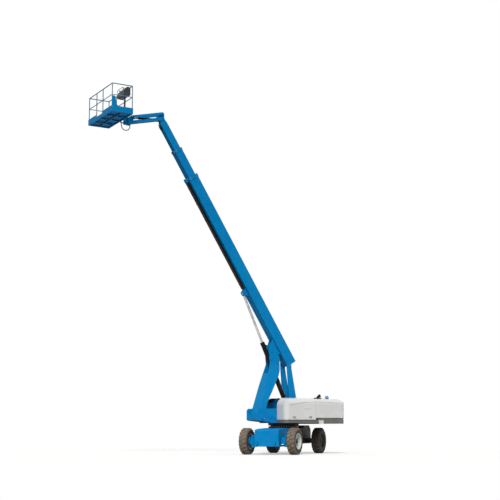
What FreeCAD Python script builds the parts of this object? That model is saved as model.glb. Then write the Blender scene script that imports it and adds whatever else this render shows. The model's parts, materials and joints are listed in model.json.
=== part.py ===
import FreeCAD
import Part

import math
import os

# Telescopic boom lift at rest: wheels steered straight, turntable slewed, boom raised.
# Row frame: origin on the ground under the slew axis, +X along the boom, +Z up. Millimetres.

# ---- driving dimensions ------------------------------------------------------------
SLEW_ANGLE = 36.0          # chassis heading, measured from the boom's heading
FIT = 0.06                 # radial clearance of a pin in its bore

# running gear, in the chassis' own frame (forward is +X)
HALF_BASE = 1420.0
HALF_TRACK = 1055.0
TYRE_RADIUS = 545.0
TYRE_WIDTH = 370.0
TYRE_SIDES = 20
CLEAT_HEIGHT = 28.0
CLEAT_WIDTH = 62.0
CLEAT_SLANT = 14.0
RIM_RADIUS = 315.0
KINGPIN_Y = 800.0
KINGPIN_RADIUS = 42.0
SPINDLE_RADIUS = 60.0
STEER_ARM = 160.0

# tie-down eyes: rear, then front
EYE_X = (-1900.0, 1900.0)
EYE_Z = (640.0, 480.0)
EYE_Y = 400.0
EYE_RADIUS = 28.0

# frame: half width, wall, split between the two halves, seats over the axles
FRAME_HALF = 530.0
FRAME_WALL = 30.0
FRAME_SPLIT = -250.0
AXLE_SEAT = (800.0, 830.0)

# slew ring and turntable
RING_BOTTOM = 1080.0
TURNTABLE_BOTTOM = 1286.0
FRAME_PLATE_Y = (410.0, 440.0)
COVER_Y = (460.0, 1150.0)
COVER_Z = (1420.0, 2330.0)
COVER_FRONT = 600.0
COVER_SEAM = -899.0
COVER_REAR = -2390.0
COVER_WALL = 25.0
COVER_RADII = (230.0, 340.0, 200.0)   # upper edge, front top, front side
HINGE_AXIS = (460.0, 2330.0)       # (Y, Z) of the hoods' hinge line
HINGE_X = (-370.0, -90.0)
HINGE_RADIUS = 15.0
HINGE_PIN = 9.0

# lift linkage pivots (X, Z)
LINK_BASE = (1280.0, 1500.0)
LINK_TOP = (650.0, 4280.0)
TENSION_BASE = (-420.0, 1450.0)
TENSION_TOP = (-140.0, 3800.0)
TRUNNION = (700.0, 3930.0)
LIFT_BARREL = (-1770.0, 770.0)     # tail and top, from the trunnion
LIFT_BARREL_RADIUS = 92.0
LIFT_ROD_RADIUS = 52.0

# boom: tail centre, elevation and sections (height, width, wall)
BOOM_ANGLE = 58.0
BOOM_TAIL = (-317.0, 3780.0)
BASE_SECTION = (455.0, 420.0, 12.0)
MID_SECTION = (355.0, 320.0, 10.0)
FLY_SECTION = (300.0, 250.0, 8.0)
BASE_SPAN = (0.0, 9070.0)
MID_SPAN = (2170.0, 10330.0)
FLY_SPAN = (3630.0, 11560.0)
ROD_EYE = (3680.0, -385.0)
NOSE = (5850.0, 13780.0)

# jib and platform
JIB_ANGLE = -13.6
JIB_LENGTH = 1320.0
JIB_LOWER_HEAD = (6022.0, 13695.0)
JIB_SPREAD = (-115.0, 245.0)
JIB_TUBE = 110.0
JIB_PIN = 25.0
JIB_BARREL_LENGTH = 900.0
LOWER_ARM_Y = (52.0, 92.0)
HEAD_PLATE_Y = (98.0, 110.0)
UPPER_ARM_Y = (132.0, 168.0)
ROTATOR_X = 7465.0
PLATFORM_X = (7670.0, 8590.0)
PLATFORM_Y = 1220.0
PLATFORM_BOTTOM = 13390.0
RAIL_HEIGHT = 1173.0
RAIL_RADIUS = 21.0
TOE_BOARD = 240.0
ENTRANCE_Y = (-400.0, 250.0)
ANCHOR_RADIUS = 16.0
HOSE_RADIUS = 18.0
HOSE_ROUTE = (
    (7265, 13310), (7265, 13225), (7290, 13138), (7352, 13078), (7436, 13052),
    (7522, 13060), (7590, 13108), (7632, 13180), (7645, 13265), (7645, 13335),
)


# ---- geometry helpers --------------------------------------------------------------
def vec(x, y, z):
    return FreeCAD.Vector(x, y, z)


def block(x0, x1, y0, y1, z0, z1):
    return Part.makeBox(x1 - x0, y1 - y0, z1 - z0, vec(x0, y0, z0))


def bar(radius, start, end):
    """Round bar between two points."""
    return Part.makeCylinder(radius, (end - start).Length, start, end - start)


def cross_pin(radius, centre, y0, y1):
    """Round bar along Y about a pivot given as (X, Z)."""
    return Part.makeCylinder(radius, y1 - y0, vec(centre[0], y0, centre[1]), vec(0, 1, 0))


def rounded_wire(corners):
    """Closed wire through (point, radius) corners; a radius makes a tangent arc."""
    count = len(corners)
    starts, middles, ends = [], [], []
    for index, (corner, radius) in enumerate(corners):
        before = (corners[index - 1][0] - corner).normalize()
        after = (corners[(index + 1) % count][0] - corner).normalize()
        half = before.getAngle(after) / 2
        reach = radius / math.tan(half)
        bisector = (before + after).normalize()
        centre = corner + bisector * (radius / math.sin(half))
        starts.append(corner + before * reach)
        middles.append(centre - bisector * radius)
        ends.append(corner + after * reach)
    edges = []
    for index in range(count):
        if corners[index][1] > 0:
            edges.append(Part.Arc(starts[index], middles[index], ends[index]).toShape())
        following = starts[(index + 1) % count]
        if (following - ends[index]).Length > 0.01:
            edges.append(Part.LineSegment(ends[index], following).toShape())
    return Part.Wire(edges)


def side_form(corners, y0, y1):
    """Solid with an outline of (X, Z, radius) corners, from Y0 to Y1."""
    wire = rounded_wire([(vec(x, y0, z), radius) for x, z, radius in corners])
    return Part.Face(wire).extrude(vec(0, y1 - y0, 0))


def front_form(corners, x0, x1):
    """Solid with an outline of (Y, Z, radius) corners, from X0 to X1."""
    wire = rounded_wire([(vec(x0, y, z), radius) for y, z, radius in corners])
    return Part.Face(wire).extrude(vec(x1 - x0, 0, 0))


def plan_form(corners, z0, z1):
    """Solid with an outline of (X, Y, radius) corners, from Z0 to Z1."""
    wire = rounded_wire([(vec(x, y, z0), radius) for x, y, radius in corners])
    return Part.Face(wire).extrude(vec(0, 0, z1 - z0))


def mirrored(shape):
    return shape.mirror(vec(0, 0, 0), vec(0, 1, 0))


def pair(shape):
    """The shape and its mirror image across the XZ plane."""
    return [shape, mirrored(shape)]


def fused(shapes):
    return shapes[0].multiFuse(shapes[1:]).removeSplitter()


def cut(shape, tools):
    for tool in tools:
        shape = shape.cut(tool)
    return shape


def inclined(shape, origin, angle):
    """Moves a shape drawn along +X from zero to an (X, Z) origin, raised by an angle."""
    placed = shape.copy()
    turn = FreeCAD.Rotation(vec(0, 1, 0), -angle)
    placed.Placement = FreeCAD.Placement(vec(origin[0], 0, origin[1]), turn) * placed.Placement
    return placed


def on_boom(shape):
    return inclined(shape, BOOM_TAIL, BOOM_ANGLE)


def boom_point(along, above):
    """(X, Z) of a point given along the boom and above its centre line."""
    angle = math.radians(BOOM_ANGLE)
    x = BOOM_TAIL[0] + along * math.cos(angle) - above * math.sin(angle)
    z = BOOM_TAIL[1] + along * math.sin(angle) + above * math.cos(angle)
    return (x, z)


def boom_place(point):
    """(along, above) on the boom of an (X, Z) point."""
    angle = math.radians(BOOM_ANGLE)
    x = point[0] - BOOM_TAIL[0]
    z = point[1] - BOOM_TAIL[1]
    return (x * math.cos(angle) + z * math.sin(angle), z * math.cos(angle) - x * math.sin(angle))


def slewed(shape):
    """Turns a chassis shape from its own frame to the row frame."""
    turned = shape.copy()
    turned.rotate(vec(0, 0, 0), vec(0, 0, 1), SLEW_ANGLE)
    return turned


def save(name, *solids):
    shape = solids[0] if len(solids) == 1 else Part.makeCompound(list(solids))
    shape.exportStep("parts/" + name + ".step")


# ---- chassis -----------------------------------------------------------------------
def frame_shell(outline, x0, x1, axle_x):
    """Half of the welded frame: hollow box with a seat over its axle."""
    half, wall = FRAME_HALF, FRAME_WALL
    outer = side_form(outline, -half, half)
    inner = block(x0 + wall, x1 - wall, -half + wall, half - wall, 300, 1000)
    seat = block(axle_x - 200, axle_x + 200, -half + 1, half - 1, *AXLE_SEAT)
    return fused([outer.cut(inner), seat])


def tie_down_eyes(x, z, inward):
    """Two lashing eyes on an end plate, with their bores."""
    near, far = sorted((x - 40 * inward, x + 70 * inward))
    plates = pair(block(near, far, EYE_Y - 15, EYE_Y + 15, z - 50, z + 50))
    return plates, cross_pin(EYE_RADIUS, (x, z), -EYE_Y - 40, EYE_Y + 40)


def chassis_frame():
    """Front half of the frame: box with a window for the steering axle and its rods."""
    outline = (
        (1850, 330, 20), (1850, 1010, 60), (1500, 1050, 0), (700, 1080, 0), (FRAME_SPLIT, 1080, 0),
        (FRAME_SPLIT, 450, 0), (900, 450, 0), (1020, 330, 30),
    )
    shell = frame_shell(outline, FRAME_SPLIT, 1850, HALF_BASE)
    window = block(1205, 1545, -700, 700, 405, 735)
    belly = block(FRAME_SPLIT + 10, 890, -FRAME_HALF + 1, FRAME_HALF - 1, 450, 480)
    eyes, bore = tie_down_eyes(EYE_X[1], EYE_Z[1], -1)
    return cut(fused([shell, belly] + eyes), [window, bore])


def chassis_rear():
    """Rear half of the frame: raised over the drive axle, with a window for it."""
    outline = (
        (FRAME_SPLIT, 450, 0), (FRAME_SPLIT, 1080, 0), (-960, 1080, 0), (-1050, 1190, 60),
        (-1660, 1190, 90), (-1850, 1010, 90), (-1850, 420, 30), (-900, 420, 0), (-850, 450, 0),
    )
    shell = frame_shell(outline, -1850, FRAME_SPLIT, -HALF_BASE)
    window = block(-1530, -1310, -700, 700, 425, 665)
    belly = block(-1020, FRAME_SPLIT - 10, -FRAME_HALF + 1, FRAME_HALF - 1, 450, 480)
    eyes, bore = tie_down_eyes(EYE_X[0], EYE_Z[0], 1)
    return cut(fused([shell, belly] + eyes), [window, bore])


def slew_ring_lower():
    ring = Part.makeCylinder(560, 178, vec(0, 0, RING_BOTTOM), vec(0, 0, 1))
    flange = Part.makeCylinder(640, 58, vec(0, 0, RING_BOTTOM), vec(0, 0, 1))
    bore = Part.makeCylinder(430, 220, vec(0, 0, RING_BOTTOM - 10), vec(0, 0, 1))
    return fused([ring, flange]).cut(bore)


def slew_ring_upper():
    ring = Part.makeCylinder(650, 100, vec(0, 0, TURNTABLE_BOTTOM - 100), vec(0, 0, 1))
    bore = Part.makeCylinder(566, 120, vec(0, 0, TURNTABLE_BOTTOM - 110), vec(0, 0, 1))
    return ring.cut(bore)


def front_axle():
    """Steer axle: box beam with a yoke at each end, and a saddle up to the frame."""
    x = HALF_BASE
    beam = block(x - 90, x + 90, -700, 700, 430, 720)
    saddle = block(x - 150, x + 150, -380, 380, 720, 800)
    parts = [beam, saddle]
    for side in (-1, 1):
        y = side * KINGPIN_Y
        for z0, z1 in ((310, 370), (720, 780)):
            low, high = sorted((side * 650, y))
            parts.append(block(x - 60, x + 60, low, high, z0, z1))
            parts.append(Part.makeCylinder(62, z1 - z0, vec(x, y, z0), vec(0, 0, 1)))
        low, high = sorted((side * 640, side * 700))
        parts.append(block(x - 75, x + 75, low, high, 310, 780))
    bores = []
    for side in (-1, 1):
        base = vec(x, side * KINGPIN_Y, 300)
        bores.append(Part.makeCylinder(KINGPIN_RADIUS + FIT, 500, base, vec(0, 0, 1)))
    return cut(fused(parts), bores)


def steer_cylinder():
    """Double-ended steering cylinder on the back of the axle beam."""
    x = HALF_BASE - STEER_ARM
    barrel = Part.makeCylinder(45, 500, vec(x, -250, 520), vec(0, 1, 0))
    bore = Part.makeCylinder(24 + FIT, 520, vec(x, -260, 520), vec(0, 1, 0))
    foot = block(x, HALF_BASE - 90, -60, 60, 490, 550)
    return fused([barrel, foot]).cut(bore)


def steer_rod():
    """Through rod of the steering cylinder with an eye near each steering arm."""
    x = HALF_BASE - STEER_ARM
    half = KINGPIN_Y - 20
    rod = Part.makeCylinder(24, 2 * half, vec(x, -half, 520), vec(0, 1, 0))
    eyes = [
        Part.makeCylinder(36, 44, vec(x, side * KINGPIN_Y, 498), vec(0, 0, 1)) for side in (-1, 1)
    ]
    return fused([rod] + eyes)


def knuckle(side):
    """Steering knuckle: kingpin, swivel block, steering arm, hub motor and spindle."""
    x = HALF_BASE
    y = side * KINGPIN_Y
    pin = Part.makeCylinder(KINGPIN_RADIUS, 470, vec(x, y, 310), vec(0, 0, 1))
    swivel = Part.makeCylinder(70, 330, vec(x, y, 380), vec(0, 0, 1))
    low, high = sorted((y, side * 905))
    neck = block(x - 70, x + 70, low, high, 430, 660)
    motor_start = vec(x, side * 880, TYRE_RADIUS)
    motor = Part.makeCylinder(170, 90, motor_start, vec(0, side, 0))
    spindle = Part.makeCylinder(SPINDLE_RADIUS, 230, motor_start, vec(0, side, 0))
    arm = block(x - STEER_ARM, x, y - 30, y + 30, 555, 600)
    tip = Part.makeCylinder(36, 45, vec(x - STEER_ARM, y, 555), vec(0, 0, 1))
    return fused([pin, swivel, neck, motor, spindle, arm, tip])


def rear_axle():
    """Fixed drive axle: beam, centre gearbox, hub motors and spindles."""
    x = -HALF_BASE
    beam = block(x - 85, x + 85, -860, 860, 450, 640)
    saddle = block(x - 140, x + 140, -380, 380, 640, 800)
    gearbox = Part.makeCylinder(190, 300, vec(x - 150, 0, 560), vec(1, 0, 0))
    drive = block(x + 85, x + 420, -120, 120, 480, 700)
    parts = [beam, saddle, gearbox, drive]
    for side in (-1, 1):
        start = vec(x, side * 850, TYRE_RADIUS)
        parts.append(Part.makeCylinder(170, 120, start, vec(0, side, 0)))
        parts.append(Part.makeCylinder(SPINDLE_RADIUS, 260, start, vec(0, side, 0)))
    return fused(parts)


def revolved_wheel(profile, x, side):
    """Revolves an (offset, radius) profile about a wheel's axis; offsets run outwards."""
    points = [vec(0, offset, radius) for offset, radius in profile]
    face = Part.Face(Part.makePolygon(points + points[:1]))
    solid = face.revolve(vec(0, 0, 0), vec(0, 1, 0), 360)
    if side < 0:
        solid = mirrored(solid)
    solid.translate(vec(x, side * HALF_TRACK, TYRE_RADIUS))
    return solid


def faceted_ring(profile, sides):
    """Ring about Y with flat sides, from a closed (offset, radius) outline at its corners."""
    step = math.tau / sides
    faces = []
    for index in range(sides):
        angles = (index * step, (index + 1) * step)
        for start, end in zip(profile, profile[1:] + profile[:1]):
            corners = [
                vec(radius * math.cos(angle), offset, radius * math.sin(angle))
                for (offset, radius), angle in zip((start, end, end, start), sorted(angles * 2))
            ]
            faces.append(Part.Face(Part.makePolygon(corners + corners[:1])))
    shell = Part.makeShell(faces)
    shell.sewShape()
    ring = Part.makeSolid(shell)
    if ring.Volume < 0:
        ring.reverse()
    return ring


def cleat(angle, side):
    """One slanted tread cleat that runs from the middle of the tread over a shoulder."""
    width = CLEAT_WIDTH / 2
    slant = math.radians(CLEAT_SLANT)
    middle = TYRE_WIDTH / 4
    top = math.sqrt(TYRE_RADIUS ** 2 - (width + (middle - 10) * math.sin(slant)) ** 2)
    outline = ((500, 10), (top, 10), (top, 145), (top - 85, 178), (top - 85, 120))
    points = [vec(radius, offset, -width) for radius, offset in outline]
    form = Part.Face(Part.makePolygon(points + points[:1])).extrude(vec(0, 0, 2 * width))
    form.rotate(vec(0, middle, 0), vec(1, 0, 0), CLEAT_SLANT)
    if side < 0:
        form = mirrored(form)
    form.rotate(vec(0, 0, 0), vec(0, 1, 0), angle)
    return form


def tyre(x, side):
    """Flat-sided carcass with a ring of cleats fused over each shoulder."""
    half = TYRE_WIDTH / 2
    corner = 1 / math.cos(math.pi / TYRE_SIDES)
    tread = (TYRE_RADIUS - CLEAT_HEIGHT) * corner
    bead = RIM_RADIUS * corner
    profile = [
        (-half + 25, bead), (-half, tread - 90), (-half + 60, tread),
        (half - 60, tread), (half, tread - 90), (half - 25, bead),
    ]
    pitch = 360 / TYRE_SIDES
    cleats = [
        cleat(90 + (index + side_turn / 4) * pitch, side_turn)
        for index in range(TYRE_SIDES) for side_turn in (-1, 1)
    ]
    solid = fused([faceted_ring(profile, TYRE_SIDES)] + cleats)
    if side < 0:
        solid = mirrored(solid)
    solid.translate(vec(x, side * HALF_TRACK, TYRE_RADIUS))
    return solid


def rim(x, side):
    """Rim barrel with a dished disc and a hub that runs on the spindle."""
    half = TYRE_WIDTH / 2 - 25
    skin = 14.0
    disc = 20.0
    hub = 130.0
    profile = (
        (-half, RIM_RADIUS), (half, RIM_RADIUS), (half + 12, RIM_RADIUS + 13), (half + 20, RIM_RADIUS + 11),
        (half + 12, RIM_RADIUS - skin), (disc + 55, RIM_RADIUS - skin - 12), (disc + 18, 215),
        (disc + 18, hub + 10), (disc + 60, hub - 8), (disc + 60, SPINDLE_RADIUS + FIT),
        (-disc - 40, SPINDLE_RADIUS + FIT), (-disc - 40, hub), (disc, hub + 12), (disc, 205),
        (disc + 35, RIM_RADIUS - skin - 22), (-half, RIM_RADIUS - skin),
    )
    return revolved_wheel(profile, x, side)


# ---- turntable ---------------------------------------------------------------------
def hinge_bar(radius, x0, x1):
    """Round bar along the left hood's hinge line."""
    return Part.makeCylinder(radius, x1 - x0, vec(x0, *HINGE_AXIS), vec(1, 0, 0))


def hood_hinge_bracket(x):
    """Fixed half of a hood hinge: an eye on the frame plate, with its pin."""
    web = block(x, x + 30, FRAME_PLATE_Y[0], HINGE_AXIS[0], HINGE_AXIS[1] - 60, HINGE_AXIS[1] - 5)
    web = web.cut(block(x - 1, x + 31, FRAME_PLATE_Y[1], 500, HINGE_AXIS[1] - 61, HINGE_AXIS[1] - 30))
    return fused([web, hinge_bar(HINGE_RADIUS, x, x + 30), hinge_bar(HINGE_PIN, x, x + 96)])


def turntable_frame():
    """Two tall side plates on a base plate, with bosses for the link pivots."""
    outline = (
        (1390, 1372, 30), (1548, 1400, 40), (1548, 1810, 60), (1470, 1885, 40), (640, 1885, 60),
        (330, 2150, 120), (60, 2310, 160), (-420, 2310, 160), (-800, 2120, 80), (-899, 1880, 30),
        (-1350, 1860, 0), (-1350, TURNTABLE_BOTTOM, 0), (550, TURNTABLE_BOTTOM, 0),
    )
    inner, outer = FRAME_PLATE_Y
    plates = pair(side_form(outline, inner, outer))
    base = block(-1350, 900, -outer, outer, TURNTABLE_BOTTOM, TURNTABLE_BOTTOM + 30)
    nose = block(1515, 1545, -outer, outer, 1410, 1620)
    bosses = []
    bosses += pair(cross_pin(110, LINK_BASE, inner, outer + 16))
    bosses += pair(cross_pin(95, TENSION_BASE, inner, outer))
    pins = [cross_pin(50, LINK_BASE, -outer, outer), cross_pin(45, TENSION_BASE, -outer, outer)]
    hinges = []
    for hinge_x in HINGE_X:
        hinges += pair(hood_hinge_bracket(hinge_x))
    return fused(plates + [base, nose] + bosses + pins + hinges)


def turntable_deck():
    """Trays under the covers, each with a low rim."""
    inner, outer = FRAME_PLATE_Y[1], COVER_Y[1] - 30
    front = COVER_FRONT - 10
    radius = COVER_RADII[2] - 30
    tray = plan_form(
        ((-1010, inner, 0), (front, inner, 0), (front, outer, radius), (-1010, outer, 0)),
        TURNTABLE_BOTTOM, COVER_Z[0] - 12)
    hollow = plan_form(
        (
            (-980, inner + 20, 0), (front - 30, inner + 20, 0), (front - 30, outer - 30, radius - 30),
            (-980, outer - 30, 0),
        ), TURNTABLE_BOTTOM + 20, COVER_Z[0])
    return pair(tray.cut(hollow))


def cover_form(front, rear, inset, y_inner, radii):
    """Rounded body of the covers: side, front and plan outlines intersected."""
    edge, front_top, front_side, rear_side = radii
    bottom, top = COVER_Z
    outer_y = COVER_Y[1] - inset
    top -= inset
    front -= inset
    rear += inset
    side = [
        (rear, bottom - inset, 0), (front, bottom - inset, 0), (front, top, front_top),
        (rear + 330, top - 40, 200), (rear, top - 210, 60),
    ]
    if rear > COVER_REAR + 500:
        side = side[:3] + [(rear, top, 0)]
    face = [
        (y_inner, bottom - inset, 0), (outer_y, bottom - inset, 0), (outer_y, top - 60, edge),
        (y_inner, top, 0),
    ]
    plan = [
        (rear, y_inner, 0), (front, y_inner, 0), (front, outer_y, front_side),
        (rear, outer_y, rear_side),
    ]
    form = side_form(side, y_inner, outer_y)
    form = form.common(front_form(face, rear, front))
    return form.common(plan_form(plan, bottom - inset, top))


def hood():
    """Engine or tank hood: side, top and front in one shell, open inside and below."""
    radii = COVER_RADII + (0,)
    inner_radii = tuple(radius - 20 for radius in COVER_RADII) + (0,)
    outer = cover_form(COVER_FRONT, COVER_SEAM + 6, 0, COVER_Y[0], radii)
    inner = cover_form(COVER_FRONT, COVER_SEAM + 6, COVER_WALL, COVER_Y[0] - 20, inner_radii)
    shell = outer.cut(inner)
    edge, top = HINGE_AXIS
    for x in HINGE_X:
        shell = shell.cut(block(x - 4, x + 32, edge - 10, edge + 24, top - 60, top + 20))
    knuckles = [hinge_bar(HINGE_RADIUS, x + 34, x + 94) for x in HINGE_X]
    bores = [hinge_bar(HINGE_PIN + FIT, x + 30, x + 100) for x in HINGE_X]
    return cut(fused([shell] + knuckles), bores)


def counterweight():
    """Cast rear end in the line of the covers, hollow below, with a low middle."""
    top_limit = 1495.0
    flank = cover_form(COVER_SEAM - 6, COVER_REAR, 0, 440, (COVER_RADII[0], 0, 0, 160))
    flank = flank.cut(block(-2500, -800, 0, 1300, 1200, top_limit))
    hollow = block(-2200, -1010, 540, 1020, 1400, 2060)
    flank = flank.cut(hollow)
    middle = block(-2385, -1760, -440, 440, top_limit, 2000)
    return fused(pair(flank) + [middle])


def counterweight_base():
    """Heavy slab under the rear end, notched round the frame plates."""
    slab = plan_form(
        (
            (COVER_REAR + 10, -COVER_Y[1] + 20, 150), (-1360, -COVER_Y[1] + 20, 0),
            (-1360, COVER_Y[1] - 20, 0), (COVER_REAR + 10, COVER_Y[1] - 20, 150),
        ), 1250, 1490)
    wing = block(-1361, -1020, 470, COVER_Y[1] - 20, 1250, 1490)
    return fused([slab] + pair(wing))


def engine_block():
    return block(-700, 250, -1020, -560, TURNTABLE_BOTTOM + 20, 1980)


# ---- lift linkage ------------------------------------------------------------------
def lift_link():
    """Tapered box link: side plates with a front plate, forked at the top."""
    outline = (
        (1425, 1500, 0), (1425, 1372, 100), (1130, 1372, 100), (1130, 1760, 60), (980, 2190, 200),
        (750, 2570, 200), (350, 3290, 60), (285, 3520, 60), (270, 4010, 60), (560, 4520, 80),
        (760, 4600, 70), (800, 4420, 60), (790, 4200, 60), (750, 3750, 60), (1030, 2870, 200),
        (1300, 1870, 100),
    )
    wall = 30.0
    face = (
        (-395, 1300, 0), (395, 1300, 0), (395, 1900, 0), (180, 3700, 0), (180, 4700, 0),
        (-180, 4700, 0), (-180, 3700, 0), (-395, 1900, 0),
    )
    inset = (
        (-395 + wall, 1200, 0), (395 - wall, 1200, 0), (395 - wall, 1900, 0), (180 - wall, 3700, 0),
        (180 - wall, 4800, 0), (-180 + wall, 4800, 0), (-180 + wall, 3700, 0), (-395 + wall, 1900, 0),
    )
    body = side_form(outline, -400, 400).common(front_form(face, 0, 1700))
    plates = body.cut(front_form(inset, 0, 1700))
    front = side_form((
        (1418, 1560, 0), (1300, 1870, 100), (1030, 2870, 200), (870, 3370, 0), (840, 3360, 0),
        (1000, 2862, 200), (1268, 1865, 100), (1386, 1556, 0)), -400, 400)
    front = front.common(front_form(face, 0, 1700))
    hub = cross_pin(120, LINK_BASE, -395, 395)
    bores = [
        cross_pin(50 + FIT, LINK_BASE, -420, 420),
        cross_pin(42 + FIT, LINK_TOP, -200, 200),
        cross_pin(40 + FIT, TRUNNION, -200, 200),
    ]
    return cut(fused([plates, front, hub]), bores)


def tension_link():
    """Two arms beside the boom's tail, joined by a tube at the foot."""
    outline = (
        (-305, 1335, 112), (-535, 1335, 112), (-535, 1650, 100), (-468, 2360, 200),
        (-245, 3600, 60), (-250, 3915, 100), (-30, 3915, 100), (-30, 3700, 60),
        (-127, 2390, 300), (-280, 1600, 100),
    )
    arms = pair(side_form(outline, 225, 285))
    foot = cross_pin(95, TENSION_BASE, -404, 404)
    bore = cross_pin(45 + FIT, TENSION_BASE, -420, 420)
    return fused(arms + [foot]).cut(bore)


def cylinder_line():
    """Angle and length from the barrel's trunnion to the rod's eye."""
    eye = boom_point(*ROD_EYE)
    dx = eye[0] - TRUNNION[0]
    dz = eye[1] - TRUNNION[1]
    return math.degrees(math.atan2(dz, dx)), math.hypot(dx, dz)


def lift_barrel():
    """Lift cylinder's barrel, drawn along +X from its trunnion."""
    tail, top = LIFT_BARREL
    outer = Part.makeCylinder(LIFT_BARREL_RADIUS, top - tail, vec(tail, 0, 0), vec(1, 0, 0))
    inner = Part.makeCylinder(76, top - tail - 100, vec(tail + 40, 0, 0), vec(1, 0, 0))
    bore = Part.makeCylinder(LIFT_ROD_RADIUS + FIT, 200, vec(top - 100, 0, 0), vec(1, 0, 0))
    trunnions = pair(Part.makeCylinder(40, 90, vec(0, 88, 0), vec(0, 1, 0)))
    collar = Part.makeCylinder(99, 120, vec(-60, 0, 0), vec(1, 0, 0))
    body = fused([outer, collar] + trunnions)
    angle, _ = cylinder_line()
    return inclined(cut(body, [inner, bore]), TRUNNION, angle)


def lift_rod():
    """Lift cylinder's rod with its eye, drawn along +X from the trunnion."""
    angle, length = cylinder_line()
    inside = LIFT_BARREL[1] - 420
    rod = Part.makeCylinder(LIFT_ROD_RADIUS, length - 40 - inside, vec(inside, 0, 0), vec(1, 0, 0))
    eye = Part.makeCylinder(50, 90, vec(length, -45, 0), vec(0, 1, 0))
    bore = Part.makeCylinder(24, 100, vec(length, -50, 0), vec(0, 1, 0))
    return inclined(fused([rod, eye]).cut(bore), TRUNNION, angle)


# ---- boom --------------------------------------------------------------------------
def box_tube(span, section):
    """Rectangular tube along +X with its centre line at zero."""
    height, width, wall = section
    start, end = span
    outer = block(start, end, -width / 2, width / 2, -height / 2, height / 2)
    inner = block(
        start - 1, end + 1, wall - width / 2, width / 2 - wall, wall - height / 2, height / 2 - wall)
    return outer.cut(inner)


def mouth_pads(end, outer_section, inner_section):
    """Wear pads inside a tube's mouth, 5 mm clear of the section that slides in it."""
    length = 260.0
    gap = 5.0
    height = outer_section[0] / 2 - outer_section[2]
    width = outer_section[1] / 2 - outer_section[2]
    inner_height = inner_section[0] / 2 + gap
    inner_width = inner_section[1] / 2 + gap
    frame = block(end - length, end, -width - 1, width + 1, -height - 1, height + 1)
    passage = block(end - length - 1, end + 1, -inner_width, inner_width, -inner_height, inner_height)
    return frame.cut(passage)


def collar(end, section, depth, stand):
    """Band round the mouth of a tube."""
    height, width, _ = section
    band = block(
        end - depth, end, -width / 2 - stand, width / 2 + stand, -height / 2 - stand, height / 2 + stand)
    return band.cut(block(end - depth - 1, end + 1, -width / 2, width / 2, -height / 2, height / 2))


def boom_base():
    """Base section: tube, tail plate, mouth collar and pads, link ears and rod lugs."""
    height, width, wall = BASE_SECTION
    under = -height / 2
    tube = box_tube(BASE_SPAN, BASE_SECTION)
    tail = block(0, 20, 1 - width / 2, width / 2 - 1, 1 - height / 2, height / 2 - 1)
    top_along, top_above = boom_place(LINK_TOP)
    ear_outline = (
        (top_along - 330, under + 4, 0), (top_along - 88, top_above - 96, 90),
        (top_along + 88, top_above - 96, 90), (top_along + 430, under + 4, 0),
    )
    ears = pair(side_form(ear_outline, 108, 138))
    stubs = pair(cross_pin(42, (top_along, top_above), 108, 178))
    eye_along, eye_above = ROD_EYE
    lug_outline = (
        (eye_along - 200, under + 4, 0), (eye_along - 62, eye_above - 62, 60),
        (eye_along + 62, eye_above - 62, 60), (eye_along + 150, under + 4, 0),
    )
    lugs = pair(side_form(lug_outline, 56, 80))
    pieces = [tube, tail] + ears + stubs + lugs
    pieces.append(collar(BASE_SPAN[1], BASE_SECTION, 140, 14))
    pieces.append(mouth_pads(BASE_SPAN[1], BASE_SECTION, MID_SECTION))
    return on_boom(fused(pieces))


def hose_track():
    """Trough under the base section for hoses and cables."""
    under = -BASE_SECTION[0] / 2
    outer = block(3850, 8900, -75, 75, under - 95, under)
    inner = block(3840, 8910, -65, 65, under - 85, under)
    return on_boom(outer.cut(inner))


def boom_mid():
    pieces = [
        box_tube(MID_SPAN, MID_SECTION),
        collar(MID_SPAN[1], MID_SECTION, 110, 10),
        mouth_pads(MID_SPAN[1], MID_SECTION, FLY_SECTION),
    ]
    return on_boom(fused(pieces))


def boom_fly():
    """Fly section with a narrowed nose fork for the level head."""
    height, width, _ = FLY_SECTION
    end = FLY_SPAN[1]
    nose_along, nose_above = boom_place(NOSE)
    plate = block(end - 12, end, 2 - width / 2, width / 2 - 2, 2 - height / 2, height / 2 - 2)
    outline = (
        (end - 6, -height / 2 + 10, 0), (nose_along + 30, nose_above - 85, 60),
        (nose_along + 75, nose_above, 50), (nose_along + 20, height / 2 - 4, 50),
        (end - 6, height / 2 - 4, 0),
    )
    fork = pair(side_form(outline, 68, 92))
    body = fused([box_tube(FLY_SPAN, FLY_SECTION), plate] + fork)
    return on_boom(body.cut(cross_pin(35 + FIT, (nose_along, nose_above), -120, 120)))


# ---- jib ---------------------------------------------------------------------------
def jib_pivots():
    """Lower and upper pivots at the head, then at the platform mount, as (X, Z)."""
    angle = math.radians(JIB_ANGLE)
    reach = (JIB_LENGTH * math.cos(angle), JIB_LENGTH * math.sin(angle))
    lower = JIB_LOWER_HEAD
    upper = (lower[0] + JIB_SPREAD[0], lower[1] + JIB_SPREAD[1])
    lower_end = (lower[0] + reach[0], lower[1] + reach[1])
    upper_end = (upper[0] + reach[0], upper[1] + reach[1])
    return lower, upper, lower_end, upper_end


def level_head():
    """Head plates that stay level, with pins for the boom nose and the jib arms."""
    lower, upper, _, _ = jib_pivots()
    outline = (
        (5768, 13700, 70), (5768, 13930, 60), (5790, 14020, 50), (5950, 14006, 50),
        (6084, 13720, 60), (6072, 13632, 50), (5860, 13650, 60),
    )
    inner, outer = HEAD_PLATE_Y
    parts = pair(side_form(outline, inner, outer))
    parts += pair(cross_pin(JIB_PIN, upper, inner, UPPER_ARM_Y[1] + 5))
    parts += pair(cross_pin(35, NOSE, 62, outer + 4))
    parts.append(cross_pin(JIB_PIN, lower, -outer, outer))
    return fused(parts)


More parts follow.
